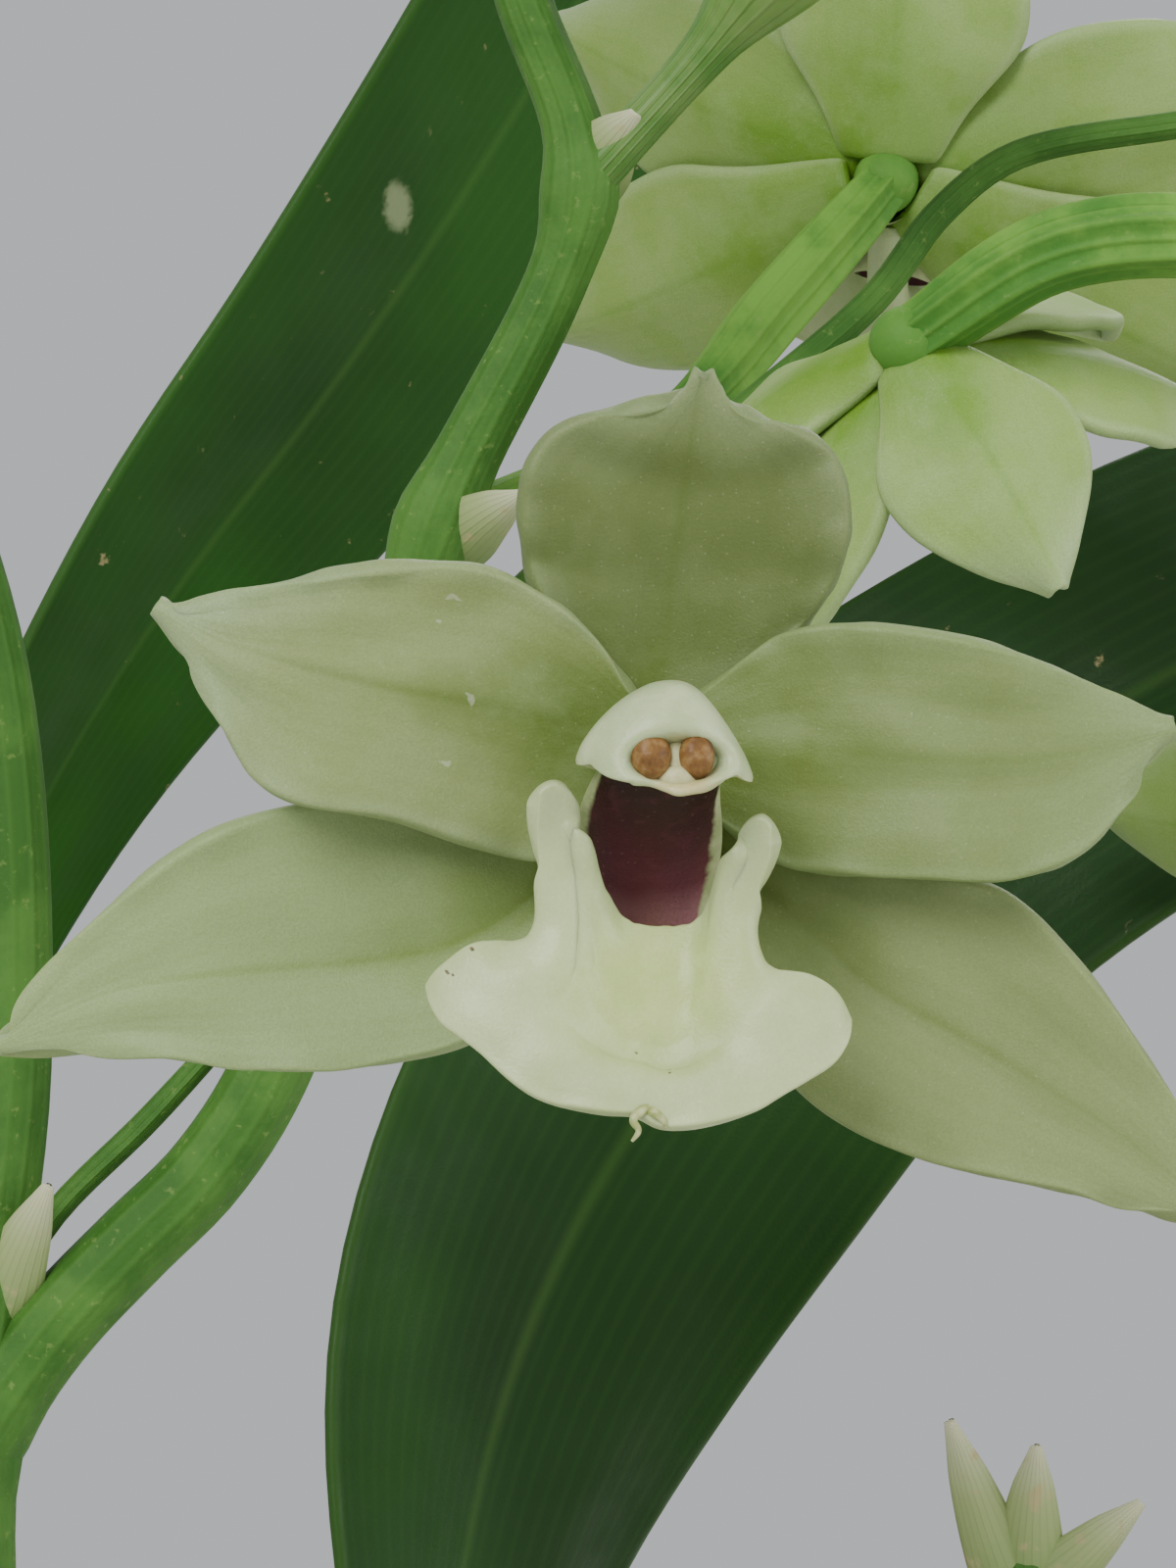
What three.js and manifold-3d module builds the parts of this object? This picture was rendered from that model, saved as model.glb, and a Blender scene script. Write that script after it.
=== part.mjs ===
import * as THREE from 'three';
import Module from 'manifold-3d';
import { mergeVertices } from 'three/addons/utils/BufferGeometryUtils.js';

// A potted orchid, in millimetres, +Z up, the origin at the centre of the pot's underside.
// The front of the plant faces -Y. Each flower is drawn facing -Y round its own middle.

const wasm = await Module();
wasm.setup();

// Sizes of the pot and what fills it
const POT_HEIGHT = 108;
const POT_FOOT_RADIUS = 41;
const POT_TOP_RADIUS = 56;
const POT_WALL = 5.5;
const POT_FLOOR = 8;
const RIM_HEIGHT = 22;
const RIM_OUT = 4;
const DRAIN_RADIUS = 4.5;
const DRAIN_CIRCLE = 24;
const MIX_TOP = 93;
const CHIPS = 11;
const CHIP_LENGTH = 9;
const GOLDEN_ANGLE = 2.4;
const GAP = 0.35;

// Sizes of the bulbs and leaves
const BULB_HEIGHT = 36;
const BULB_RADIUS = 11;
const BULB_SUNK = 5;
const BULB_ROOM = 3.4;
const SHEATH_WALL = 0.8;
const LEAF_WIDTH = 24;
const LEAF_THICKNESS = 0.8;
const PLEAT_DEPTH = 1.1;

// Sizes of the flower stem and the flowers
const SCAPE_RADIUS = 2.1;
const PEDICEL_RADIUS = 0.6;
const OVARY_RADIUS = 1.15;
const OVARY_LENGTH = 11;
const HUB_RADIUS = 1.9;
const TEPAL_THICKNESS = 0.66;
const TEPAL_LENGTH = 15;
const NEAR_FLOWER = [16, -38, 330];

// Materials, one for each colour of the plant and pot
const paint = (color, roughness) => new THREE.MeshStandardMaterial({ color, roughness, metalness: 0 });
const CLAY = paint('#b5673f', 0.9);
const BARK = paint('#5b3d26', 0.95);
const BULB = paint('#5f7a36', 0.55);
const SHEATH = paint('#a08a5c', 0.8);
const LEAF = paint('#2f5a22', 0.5);
const STEM = paint('#56823a', 0.5);
const TEPAL = paint('#8fa370', 0.5);
const LIP = paint('#cdd3a8', 0.45);
const MAROON = paint('#3f1f1b', 0.45);
const CAP = paint('#c3cbaa', 0.4);
const POLLINIA = paint('#8a5c2b', 0.4);

const plant = new THREE.Group();

// Seeded random numbers from 0 to 1
function seeded(seed) {
  let state = seed;
  return () => {
    state = (state * 1664525 + 1013904223) % 4294967296;
    return state / 4294967296;
  };
}

const vector = point => new THREE.Vector3(...point);
const smoothCurve = points => new THREE.CatmullRomCurve3(points.map(vector), false, 'centripetal');

// Smooth value at t in a list of stations, each [t, value, value ...]
function along(stations, t, column = 1) {
  const last = stations.length - 1;
  let k = 0;
  while (k < last - 1 && t > stations[k + 1][0]) k += 1;
  const slope = i => {
    const before = stations[Math.max(i - 1, 0)];
    const after = stations[Math.min(i + 1, last)];
    return (after[column] - before[column]) / (after[0] - before[0]);
  };
  const start = stations[k];
  const end = stations[k + 1];
  const span = end[0] - start[0];
  const q = THREE.MathUtils.clamp((t - start[0]) / span, 0, 1);
  const keepStart = 2 * q ** 3 - 3 * q ** 2 + 1;
  const leaveStart = q ** 3 - 2 * q ** 2 + q;
  const reachEnd = q ** 3 - q ** 2;
  return keepStart * start[column] + (1 - keepStart) * end[column]
    + span * (leaveStart * slope(k) + reachEnd * slope(k + 1));
}

// Indexed geometry from a list of points and a list of triangles
function meshOf(points, triangles) {
  const geometry = new THREE.BufferGeometry();
  geometry.setAttribute('position', new THREE.Float32BufferAttribute(points.flatMap(p => p.toArray()), 3));
  geometry.setIndex(triangles.flat());
  return geometry;
}

// Closed sheet of even thickness round the middle surface pointAt(t, s), with t in 0..1 and s in -1..1
function sheet(pointAt, rows, columns, thickness) {
  const grid = [];
  for (let i = 0; i <= rows; i += 1) {
    grid.push([]);
    for (let j = 0; j <= columns; j += 1) grid[i].push(pointAt(i / rows, (2 * j) / columns - 1));
  }
  const front = [];
  const back = [];
  for (let i = 0; i <= rows; i += 1) {
    for (let j = 0; j <= columns; j += 1) {
      const lengthwise = grid[Math.min(i + 1, rows)][j].clone().sub(grid[Math.max(i - 1, 0)][j]);
      const across = grid[i][Math.min(j + 1, columns)].clone().sub(grid[i][Math.max(j - 1, 0)]);
      const half = across.cross(lengthwise).normalize().multiplyScalar(thickness / 2);
      front.push(grid[i][j].clone().add(half));
      back.push(grid[i][j].clone().sub(half));
    }
  }
  const at = (i, j) => i * (columns + 1) + j;
  const under = front.length;
  const triangles = [];
  for (let i = 0; i < rows; i += 1) {
    for (let j = 0; j < columns; j += 1) {
      const [a, b, c, d] = [at(i, j), at(i, j + 1), at(i + 1, j + 1), at(i + 1, j)];
      triangles.push([a, b, c], [a, c, d]);
      triangles.push([under + a, under + c, under + b], [under + a, under + d, under + c]);
    }
  }
  const rim = [];
  for (let j = 0; j < columns; j += 1) rim.push(at(0, j));
  for (let i = 0; i < rows; i += 1) rim.push(at(i, columns));
  for (let j = columns; j > 0; j -= 1) rim.push(at(rows, j));
  for (let i = rows; i > 0; i -= 1) rim.push(at(i, 0));
  rim.forEach((a, k) => {
    const b = rim[(k + 1) % rim.length];
    triangles.push([a, under + a, under + b], [a, under + b, b]);
  });
  return meshOf([...front, ...back], triangles);
}

// Leaf or tepal: face is [t, x, y, z] and widths are [t, left, right] along the spine,
// and relief(t, s, width) lifts the surface toward its face. Rows lie closer together near the tip.
function blade({ spine, face, widths, relief, rows, columns, thickness }) {
  const curve = smoothCurve(spine);
  const crowding = 1.4;
  const pointAt = (step, s) => {
    const t = 1 - (1 - step) ** crowding;
    const tangent = curve.getTangentAt(t);
    const normal = vector([1, 2, 3].map(column => along(face, t, column)));
    normal.addScaledVector(tangent, -normal.dot(tangent)).normalize();
    const side = tangent.clone().cross(normal);
    const width = Math.max(along(widths, t, s < 0 ? 1 : 2), 0.28);
    return curve.getPointAt(t).addScaledVector(side, s * width).addScaledVector(normal, relief(t, s, width));
  };
  return sheet(pointAt, rows, columns, thickness);
}

// Round stalk along a curve: radii are [t, radius], ribs raise the surface, flat squeezes it one way
function stalk(points, radii, { steps = 6, sides = 6, ribs = 0, ribDepth = 0, flat = 1 } = {}) {
  const curve = smoothCurve(points);
  const { normals, binormals } = curve.computeFrenetFrames(steps, false);
  const rings = [];
  for (let i = 0; i <= steps; i += 1) {
    for (let k = 0; k < sides; k += 1) {
      const angle = (2 * Math.PI * k) / sides;
      const radius = Math.max(along(radii, i / steps), 0.25) * (1 + ribDepth * Math.cos(ribs * angle));
      const point = curve.getPointAt(i / steps).addScaledVector(normals[i], radius * Math.cos(angle));
      rings.push(point.addScaledVector(binormals[i], radius * flat * Math.sin(angle)));
    }
  }
  const start = rings.length;
  const end = start + 1;
  const triangles = [];
  for (let k = 0; k < sides; k += 1) {
    const next = (k + 1) % sides;
    for (let i = 0; i < steps; i += 1) {
      const [a, b] = [i * sides + k, i * sides + next];
      triangles.push([a, b, b + sides], [a, b + sides, a + sides]);
    }
    triangles.push([start, next, k], [end, steps * sides + k, steps * sides + next]);
  }
  return meshOf([...rings, curve.getPointAt(0), curve.getPointAt(1)], triangles);
}

// Geometry to solid, solids to one solid, and a solid back to geometry
function solid(geometry) {
  const bare = geometry.clone();
  bare.deleteAttribute('normal');
  bare.deleteAttribute('uv');
  const merged = mergeVertices(bare, 1e-4);
  const vertProperties = Float32Array.from(merged.attributes.position.array);
  const triVerts = Uint32Array.from(merged.index.array);
  return new wasm.Manifold(new wasm.Mesh({ numProp: 3, vertProperties, triVerts }));
}

const united = bodies => bodies.reduce((whole, part) => whole.add(part));

// One solid from several, with any pocket that they close off between them filled
function joined(geometries) {
  const shells = united(geometries.map(solid)).decompose();
  return united(shells.filter(shell => shell.volume() > 0));
}

function geometryOf(body) {
  const { vertProperties, triVerts } = body.getMesh();
  const geometry = new THREE.BufferGeometry();
  geometry.setAttribute('position', new THREE.Float32BufferAttribute(vertProperties, 3));
  geometry.setIndex(Array.from(triVerts));
  geometry.computeVertexNormals();
  return geometry;
}

function place(name, body, material, parent = plant) {
  const mesh = new THREE.Mesh(geometryOf(body), material);
  mesh.name = name;
  parent.add(mesh);
  return mesh;
}

// Round ball, squeezed to three radii, at a point
function ball(center, radii, around = 10, high = 7) {
  return new THREE.SphereGeometry(1, around, high).scale(...radii).translate(...center);
}

// Pot: one turned wall with a rolled rim, and drain holes round the middle of its floor
const potRadiusAt = z => THREE.MathUtils.lerp(POT_FOOT_RADIUS, POT_TOP_RADIUS, z / POT_HEIGHT);
const potInsideAt = z => potRadiusAt(z) - POT_WALL;

function makePot() {
  const rimFoot = POT_HEIGHT - RIM_HEIGHT;
  const rimRadius = POT_TOP_RADIUS + RIM_OUT;
  const profile = [
    [0, 0],
    [POT_FOOT_RADIUS - 1.5, 0],
    [POT_FOOT_RADIUS, 1.5],
    [potRadiusAt(rimFoot), rimFoot],
    [rimRadius - 1.5, rimFoot + 1],
    [rimRadius, rimFoot + 3],
    [rimRadius, POT_HEIGHT - 2.5],
    [rimRadius - 2.5, POT_HEIGHT],
    [potInsideAt(POT_HEIGHT) + 2, POT_HEIGHT],
    [potInsideAt(POT_HEIGHT), POT_HEIGHT - 2],
    [potInsideAt(POT_FLOOR + 3), POT_FLOOR + 3],
    [potInsideAt(POT_FLOOR) - 3, POT_FLOOR],
    [0, POT_FLOOR],
  ];
  const wall = new THREE.LatheGeometry(profile.map(p => new THREE.Vector2(...p)), 28).rotateX(Math.PI / 2);
  let pot = solid(wall);
  for (const angle of [90, 210, 330]) {
    const turn = THREE.MathUtils.degToRad(angle);
    const hole = new THREE.CylinderGeometry(DRAIN_RADIUS, DRAIN_RADIUS, 3 * POT_FLOOR, 10);
    hole.rotateX(Math.PI / 2).translate(DRAIN_CIRCLE * Math.cos(turn), DRAIN_CIRCLE * Math.sin(turn), 0);
    pot = pot.subtract(solid(hole));
  }
  return pot;
}

place('pot', makePot(), CLAY);

// Bulbs: the newest carries the flower stem, and the older two stand behind it along the rootstock
const BULBS = [
  { at: [18, -9], lean: [1, -1], scale: 1 },
  { at: [-6.5, 4.5], lean: [-1, 1], scale: 0.96 },
  { at: [-30, 18], lean: [-2, 2], scale: 0.84 },
];
const SCAPE_FOOT = [2, -23];
const BULB_RADII = [[0, 0.62], [0.2, 0.95], [0.38, 1], [0.6, 0.86], [0.8, 0.56], [0.93, 0.34], [1, 0.24]];

function bulbTop({ at, lean, scale }) {
  return [at[0] + lean[0], at[1] + lean[1], MIX_TOP - BULB_SUNK + BULB_HEIGHT * scale];
}

function makeBulb(bulb, grow = 0, sides = 12, steps = 7) {
  const [x, y] = bulb.at;
  const foot = [x, y, MIX_TOP - BULB_SUNK - grow];
  const straight = [x, y, MIX_TOP + 3];
  const [topX, topY, topZ] = bulbTop(bulb);
  const radii = BULB_RADII.map(([t, part]) => [t, part * BULB_RADIUS * bulb.scale + grow]);
  const ribs = sides / 2;
  return stalk([foot, straight, [topX, topY, topZ + grow]], radii, { steps, sides, ribs, ribDepth: 0.045 });
}

BULBS.forEach((bulb, k) => place(`bulb_${k + 1}`, solid(makeBulb(bulb)), BULB));

// Sheath: a papery cup round a bulb's foot, drawn up to a point on each side
function makeSheath(bulb, turn) {
  const [x, y] = bulb.at;
  const [topX, topY, topZ] = bulbTop(bulb);
  const foot = MIX_TOP - BULB_SUNK + 1.5;
  const rise = (topZ - foot) * 0.62;
  const pointAt = (t, s) => {
    const angle = turn + s * 2.7;
    const edge = 0.55 + 0.45 * Math.abs(Math.cos(angle - turn)) ** 3;
    const height = foot + rise * t * edge;
    const part = (height - foot + 1.5) / (topZ - foot + 1.5);
    const flare = GAP + SHEATH_WALL / 2 + 1.3 * t;
    const radius = along(BULB_RADII, part) * BULB_RADIUS * bulb.scale * 1.09 + flare + s * s * 0.5;
    const middleX = THREE.MathUtils.lerp(x, topX, part);
    const middleY = THREE.MathUtils.lerp(y, topY, part);
    return new THREE.Vector3(middleX + radius * Math.cos(angle), middleY + radius * Math.sin(angle), height);
  };
  return solid(sheet(pointAt, 2, 10, SHEATH_WALL));
}

const sheaths = BULBS.map((bulb, k) => makeSheath(bulb, [-1.2, 2.6, 1.9][k]));
sheaths.forEach((body, k) => place(`sheath_${k + 1}`, body, SHEATH));

// Potting mix: a plug inside the pot, its top broken into bark chips, with holes for what stands in it
function makeMix() {
  const random = seeded(11);
  const around = 14;
  const rings = [0.2, 0.42, 0.64, 0.84, 1];
  const topRadius = potInsideAt(MIX_TOP) - GAP;
  const points = [];
  const triangles = [];
  rings.forEach(part => {
    for (let k = 0; k < around; k += 1) {
      const angle = (2 * Math.PI * k) / around;
      const bump = part === 1 ? -2 : 2.4 * (random() - 0.5);
      const radius = topRadius * part;
      points.push(new THREE.Vector3(radius * Math.cos(angle), radius * Math.sin(angle), MIX_TOP + bump));
    }
  });
  const footRadius = potInsideAt(POT_FLOOR + 3) - GAP;
  for (let k = 0; k < around; k += 1) {
    const angle = (2 * Math.PI * k) / around;
    points.push(new THREE.Vector3(footRadius * Math.cos(angle), footRadius * Math.sin(angle), POT_FLOOR + 3));
  }
  const topMiddle = points.length;
  points.push(new THREE.Vector3(0, 0, MIX_TOP), new THREE.Vector3(0, 0, POT_FLOOR + 3));
  for (let k = 0; k < around; k += 1) {
    const next = (k + 1) % around;
    const footRing = rings.length * around;
    triangles.push([topMiddle, k, next], [topMiddle + 1, footRing + next, footRing + k]);
    for (let i = 0; i < rings.length; i += 1) {
      const [a, b] = [i * around + k, i * around + next];
      triangles.push([a, a + around, b + around], [a, b + around, b]);
    }
  }
  let mix = solid(meshOf(points, triangles));
  for (let k = 0; k < CHIPS; k += 1) {
    const angle = k * GOLDEN_ANGLE;
    const radius = (topRadius - CHIP_LENGTH) * Math.sqrt((k + 0.5) / CHIPS);
    const [chipX, chipY] = [radius * Math.cos(angle), radius * Math.sin(angle)];
    if (BULBS.some(({ at }) => Math.hypot(at[0] - chipX, at[1] - chipY) < BULB_RADIUS + 4)) continue;
    const chip = new THREE.BoxGeometry(CHIP_LENGTH + 6 * random(), 6 + 3 * random(), 3 + 1.5 * random());
    chip.rotateX(0.5 * (random() - 0.5)).rotateY(0.5 * (random() - 0.5)).rotateZ(Math.PI * random());
    chip.translate(chipX, chipY, MIX_TOP + 0.8 + random());
    mix = mix.add(solid(chip));
  }
  for (const bulb of BULBS) {
    const [x, y] = bulb.at;
    const room = BULB_RADIUS * bulb.scale + BULB_ROOM;
    const hole = new THREE.CylinderGeometry(room, room, 20, 14).rotateX(Math.PI / 2);
    mix = mix.subtract(solid(hole.translate(x, y, MIX_TOP - BULB_SUNK + 10 - GAP)));
  }
  const scapeRoom = SCAPE_RADIUS + GAP;
  const scapeHole = new THREE.CylinderGeometry(scapeRoom, scapeRoom, 40, 8).rotateX(Math.PI / 2);
  return mix.subtract(solid(scapeHole.translate(...SCAPE_FOOT, MIX_TOP + 8)));
}

place('bark_mix', makeMix(), BARK);

// Leaves: pleated blades on a narrow folded foot, each with its own way up and over
const LEAF_WIDTHS = [
  [0, 0.1], [0.12, 0.13], [0.28, 0.36], [0.45, 0.82], [0.6, 1],
  [0.75, 0.86], [0.88, 0.48], [0.96, 0.18], [1, 0.03],
];
const LEAVES = [
  {
    name: 'leaf_upper_left', width: 0.9,
    parts: [
      [0, 0.1], [0.12, 0.13], [0.4, 0.14], [0.58, 0.2], [0.68, 0.38], [0.75, 0.64],
      [0.82, 0.78], [0.89, 0.74], [0.95, 0.46], [0.985, 0.18], [1, 0.03],
    ],
    spine: [
      [-30.3, 19, 119.2], [-33, 20, 155], [-35, 25, 200], [-33, 33, 250], [-25.5, 38, 295],
      [-15, 38.5, 319], [-8.9, 38, 331], [-3.7, 37.5, 338.9], [2.5, 37.5, 346.9], [11, 37, 359.6],
      [20, 36, 376], [30, 33, 394], [38, 28, 410],
    ],
    face: [[0, 0.2, -1, 0.1], [0.6, 0.55, -0.83, 0.1], [0.75, 0.75, -0.66, 0.1], [1, 0.8, -0.6, 0.1]],
  },
  {
    name: 'leaf_behind', width: 0.98,
    parts: [
      [0, 0.1], [0.12, 0.13], [0.28, 0.36], [0.45, 0.76], [0.58, 0.8], [0.66, 0.86],
      [0.72, 0.84], [0.84, 0.8], [0.9, 0.6], [0.96, 0.26], [1, 0.03],
    ],
    spine: [
      [18, -8.4, 124.9], [12, 12, 190], [7.5, 22, 250], [8.6, 23, 298], [14, 23, 313],
      [22.5, 23, 323.5], [34, 22, 332], [48, 21, 338.2], [66, 18, 337], [88, 12, 322],
    ],
    face: [
      [0, 0.9, -0.45, 0], [0.6, 0.88, -0.47, 0], [0.67, 0.55, -0.85, 0.2], [0.74, 0.15, -0.8, 0.5],
      [0.84, 0.1, -0.8, 0.6], [1, 0.1, -0.8, 0.9],
    ],
  },
];
const ARCHED = [
  { name: 'leaf_left', bulb: 2, heading: 206, reach: 128, rise: 118, width: 0.95 },
  { name: 'leaf_back_left', bulb: 2, heading: 102, reach: 118, rise: 146, width: 1 },
  { name: 'leaf_front_left', bulb: 1, heading: 228, reach: 122, rise: 84, width: 0.88 },
  { name: 'leaf_back', bulb: 1, heading: 70, reach: 132, rise: 128, width: 1 },
  { name: 'leaf_right', bulb: 0, heading: 10, reach: 128, rise: 96, width: 0.95 },
  { name: 'leaf_front_right', bulb: 0, heading: 288, reach: 96, rise: 62, width: 0.8 },
];

function archedLeaf({ name, bulb, heading, reach, rise, width }) {
  const turn = THREE.MathUtils.degToRad(heading);
  const [x, y, z] = bulbTop(BULBS[bulb]);
  const out = [Math.cos(turn), Math.sin(turn)];
  const spine = [0, 0.22, 0.45, 0.68, 0.86, 1].map(q => {
    const away = 2 + reach * q ** 1.7;
    const up = rise * Math.sin(q * 2.25) + 0.8;
    return [x + out[0] * away, y + out[1] * away, z + up];
  });
  const face = [[0, -out[0], -out[1], 0.35], [0.55, 0, 0, 1], [1, 0.7 * out[0], 0.7 * out[1], 0.8]];
  return { name, width, spine, face };
}

function makeLeaf({ spine, face, width, parts = LEAF_WIDTHS }, columns) {
  const half = (LEAF_WIDTH / 2) * width;
  const widths = parts.map(([t, part]) => [t, part * half, part * half]);
  const relief = (t, s, w) => {
    const channel = 0.5 * w * Math.abs(s) * (1 - t) ** 2;
    const pleatDepth = PLEAT_DEPTH * Math.sin(Math.PI * t) * (w / half);
    const pleat = pleatDepth * (0.5 - 0.5 * Math.cos((columns / 2) * Math.PI * s));
    const roll = 0.12 * w * Math.sin(7 * t + 1) * s;
    return channel + pleat + roll + 0.12 * w * s * s;
  };
  const rows = columns > 6 ? 13 : 10;
  return solid(blade({ spine, face, widths, relief, rows, columns, thickness: LEAF_THICKNESS }));
}

LEAVES.forEach(leaf => place(leaf.name, makeLeaf(leaf, 8), LEAF));
ARCHED.forEach(leaf => place(leaf.name, makeLeaf(archedLeaf(leaf), 6), LEAF));

// Flowers: where each one's middle is, which way it faces, which way is up, and how far it opens
const FLOWERS = [
  {
    name: 'flower_behind', at: [24.8, 2, 351.4], facing: [0.2, 0.85, 0.4], up: [0.05, -0.3, 1],
    open: 80, size: 1.1, inner: 1,
  },
  {
    name: 'flower_hanging', at: [23.9, -21.5, 343.3], facing: [0.25, 0.6, -0.7], up: [0.5, -0.3, -0.85],
    open: 68, size: 0.8, inner: 0.34,
  },
  { name: 'flower_right', at: [46, 2, 328], facing: [0.3, 0.88, 0.35], up: [0.44, -0.3, 0.9], open: 82 },
  { name: 'flower_left', at: [-25, -27, 355], facing: [-0.55, -0.82, 0.1], up: [0, 0, 1], open: 84 },
  { name: 'flower_top', at: [-5, -29, 393], facing: [0.25, -0.95, 0.1], up: [0, 0, 1], open: 82 },
];

const hubEdge = (flower, way = flower.facing) =>
  vector(flower.at).addScaledVector(vector(way).normalize(), -HUB_RADIUS - GAP);

// Flower stem: stems, flower stalks with ribbed ovaries, bracts and buds, all one body
const SCAPE = [
  [...SCAPE_FOOT, MIX_TOP - 8], [1, -22, 150], [-2, -20, 220], [-4.9, -17.5, 290], [-5.6, -16.6, 309.5],
  [-4.4, -16.2, 321], [-5, -16, 333], [-7.5, -15.6, 341], [-12, -15.4, 350], [-9, -15, 370], [-14, -15, 390],
  [-10, -15, 408],
];
const BRANCH = [
  [-5.5, -16.6, 309], [-2.8, -16.5, 312.6], [-0.5, -16.3, 315], [1.9, -16.2, 317.4], [4, -16, 320.8],
  [7.3, -16, 331], [9.2, -16, 338], [13.8, -16, 348.7], [11.8, -16, 355.5], [10, -15.5, 364],
];
const FAR_BRANCH = [
  [-2.5, -19.6, 232], [6, -15, 254], [20, -9, 282], [32.5, -6, 295.5], [39, -4, 309], [43.5, -6, 326],
  [44.5, -8, 341], [41.5, -8, 353], [43, -8, 366],
];
const TWIG = [
  [7.3, -16, 331], [13, -12.5, 337], [20, -9.5, 342.8], [23.8, -8, 346.2], [26, -7.5, 349.1],
  [28.5, -7.5, 351], [34, -8, 352], [40, -8, 352.8],
];
const STUB = [[-4.6, -16.3, 313.5], [-2.9, -16.2, 316.1], [0, -16, 319], [3.2, -15.8, 322.5]];
const SIDE_SHOOT = [[26.3, -7.4, 288.8], [28.3, -6.4, 297], [29.2, -6, 303.6]];
const NEAR_BACK = [NEAR_FLOWER[0] + 0.3, NEAR_FLOWER[1] + 0.8 + HUB_RADIUS + GAP, NEAR_FLOWER[2]];
const BEHIND_WAY = [0.62, 0.6, 0.75];
const HANGING_FOOT = [23, -23.6, 345.8];
const STALKS = [
  { from: [7.3, -16, 331], to: vector(NEAR_BACK), facing: [0.3, -1, 0.1] },
  { from: [9.2, -16, 338], to: hubEdge(FLOWERS[0], BEHIND_WAY), facing: BEHIND_WAY },
  { from: [44.5, -8, 341], to: vector(HANGING_FOOT), facing: [-1, -0.1, -0.04] },
  { from: [39, -4, 309], to: hubEdge(FLOWERS[2]), facing: FLOWERS[2].facing },
  { from: [-12, -15.4, 350], to: hubEdge(FLOWERS[3]), facing: FLOWERS[3].facing },
  { from: [-9, -15, 370], to: hubEdge(FLOWERS[4]), facing: FLOWERS[4].facing },
];
const BUDS = [
  { from: [13.8, -16, 348.7], to: [26, -20, 365], radius: 3.1 },
  { from: [10, -15.5, 364], to: [12.5, -17, 381], radius: 2.6 },
  { from: [43, -8, 366], to: [45.5, -9, 381], radius: 2.3 },
  { from: [40, -8, 352.8], to: [52, -9, 359], radius: 2.1 },
  { from: [-14, -15, 390], to: [-27, -19, 404], radius: 3.2 },
  { from: [-10, -15, 408], to: [1, -19, 421], radius: 2.8 },
  { from: [-10, -15, 408], to: [-12, -15, 430], radius: 2.2 },
];
const BRACTS = [
  { at: [0.6, -22, 160], toward: [-3, -28, 182], width: 2.6 },
  { at: [-2.5, -19.6, 232], toward: [4, -20.5, 247], width: 2 },
  { at: [-5, -16.8, 312], toward: [-2.9, -18.3, 317.1], width: 1 },
  { at: [9.4, -16.2, 337], toward: [12, -18, 338.9], width: 1 },
  { at: [13.8, -16, 348.7], toward: [15.6, -17.4, 351], width: 1.1 },
  { at: [28.7, -6.2, 301], toward: [26.4, -6.8, 308.1], width: 1 },
  { at: [29.1, -6.2, 302], toward: [29.3, -7.2, 307.3], width: 1 },
  { at: [29, -6.2, 301.4], toward: [32.9, -6.6, 305.3], width: 1 },
  { at: [39, -4, 309], toward: [41, -8, 316], width: 1.6 },
  { at: [-12, -15.4, 350], toward: [-17.5, -17, 354], width: 1.5 },
];

function flowerStalk({ from, to, facing }) {
  const inward = vector(facing).normalize();
  const ovaryFoot = to.clone().addScaledVector(inward, -OVARY_LENGTH);
  const ovaryMiddle = to.clone().addScaledVector(inward, -OVARY_LENGTH / 2);
  const radii = [
    [0, PEDICEL_RADIUS], [0.42, PEDICEL_RADIUS + 0.1], [0.72, OVARY_RADIUS], [1, OVARY_RADIUS - 0.15],
  ];
  const path = [from, ovaryFoot.toArray(), ovaryMiddle.toArray(), to.toArray()];
  return stalk(path, radii, { steps: 5, sides: 8, ribs: 4, ribDepth: 0.13 });
}

function bud({ from, to, radius }) {
  const start = vector(from);
  const reach = vector(to).sub(start);
  const middle = start.clone().addScaledVector(reach, 0.4).add(new THREE.Vector3(0, 0, -1.2));
  const radii = [
    [0, 0.8], [0.3, 0.85], [0.45, radius * 0.62], [0.62, radius], [0.8, radius * 0.82], [1, 0.3],
  ];
  return stalk([from, middle.toArray(), to], radii, { steps: 5, sides: 6, ribs: 3, ribDepth: 0.07 });
}

function bract({ at, toward, width }) {
  const start = vector(at);
  const end = vector(toward);
  const sideways = end.clone().sub(start).cross(new THREE.Vector3(0, 0, 1));
  const middle = start.clone().lerp(end, 0.5).addScaledVector(sideways, 0.06);
  const widths = [[0, 1], [0.3, 1], [0.7, 0.6], [1, 0.1]].map(([t, part]) => [t, part * width, part * width]);
  const relief = (t, s, w) => 0.55 * w * s * s;
  return blade({
    spine: [at, middle.toArray(), toward], face: [[0, 0.2, 1, 0.5], [1, 0.2, 1, 0.5]],
    widths, relief, rows: 2, columns: 2, thickness: 0.65,
  });
}

const stems = [
  stalk(SCAPE, [[0, SCAPE_RADIUS], [0.6, 1.6], [0.8, 1.15], [1, 0.8]], { steps: 18, sides: 6 }),
  stalk(BRANCH, [[0, 1.4], [0.25, 1.3], [1, 0.8]], { steps: 15, sides: 6 }),
  stalk(FAR_BRANCH, [[0, 1.35], [0.5, 1.15], [1, 0.75]], { steps: 13, sides: 6 }),
  stalk(TWIG, [[0, 0.6], [1, 0.45]], { steps: 8, sides: 4 }),
  stalk(STUB, [[0, 0.4], [1, 0.36]], { steps: 2, sides: 4 }),
  stalk(SIDE_SHOOT, [[0, 0.9], [1, 0.8]], { steps: 2, sides: 6 }),
];
const stemParts = [...stems, ...STALKS.map(flowerStalk), ...BUDS.map(bud), ...BRACTS.map(bract)];
place('flower_stem', joined(stemParts), STEM);

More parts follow.
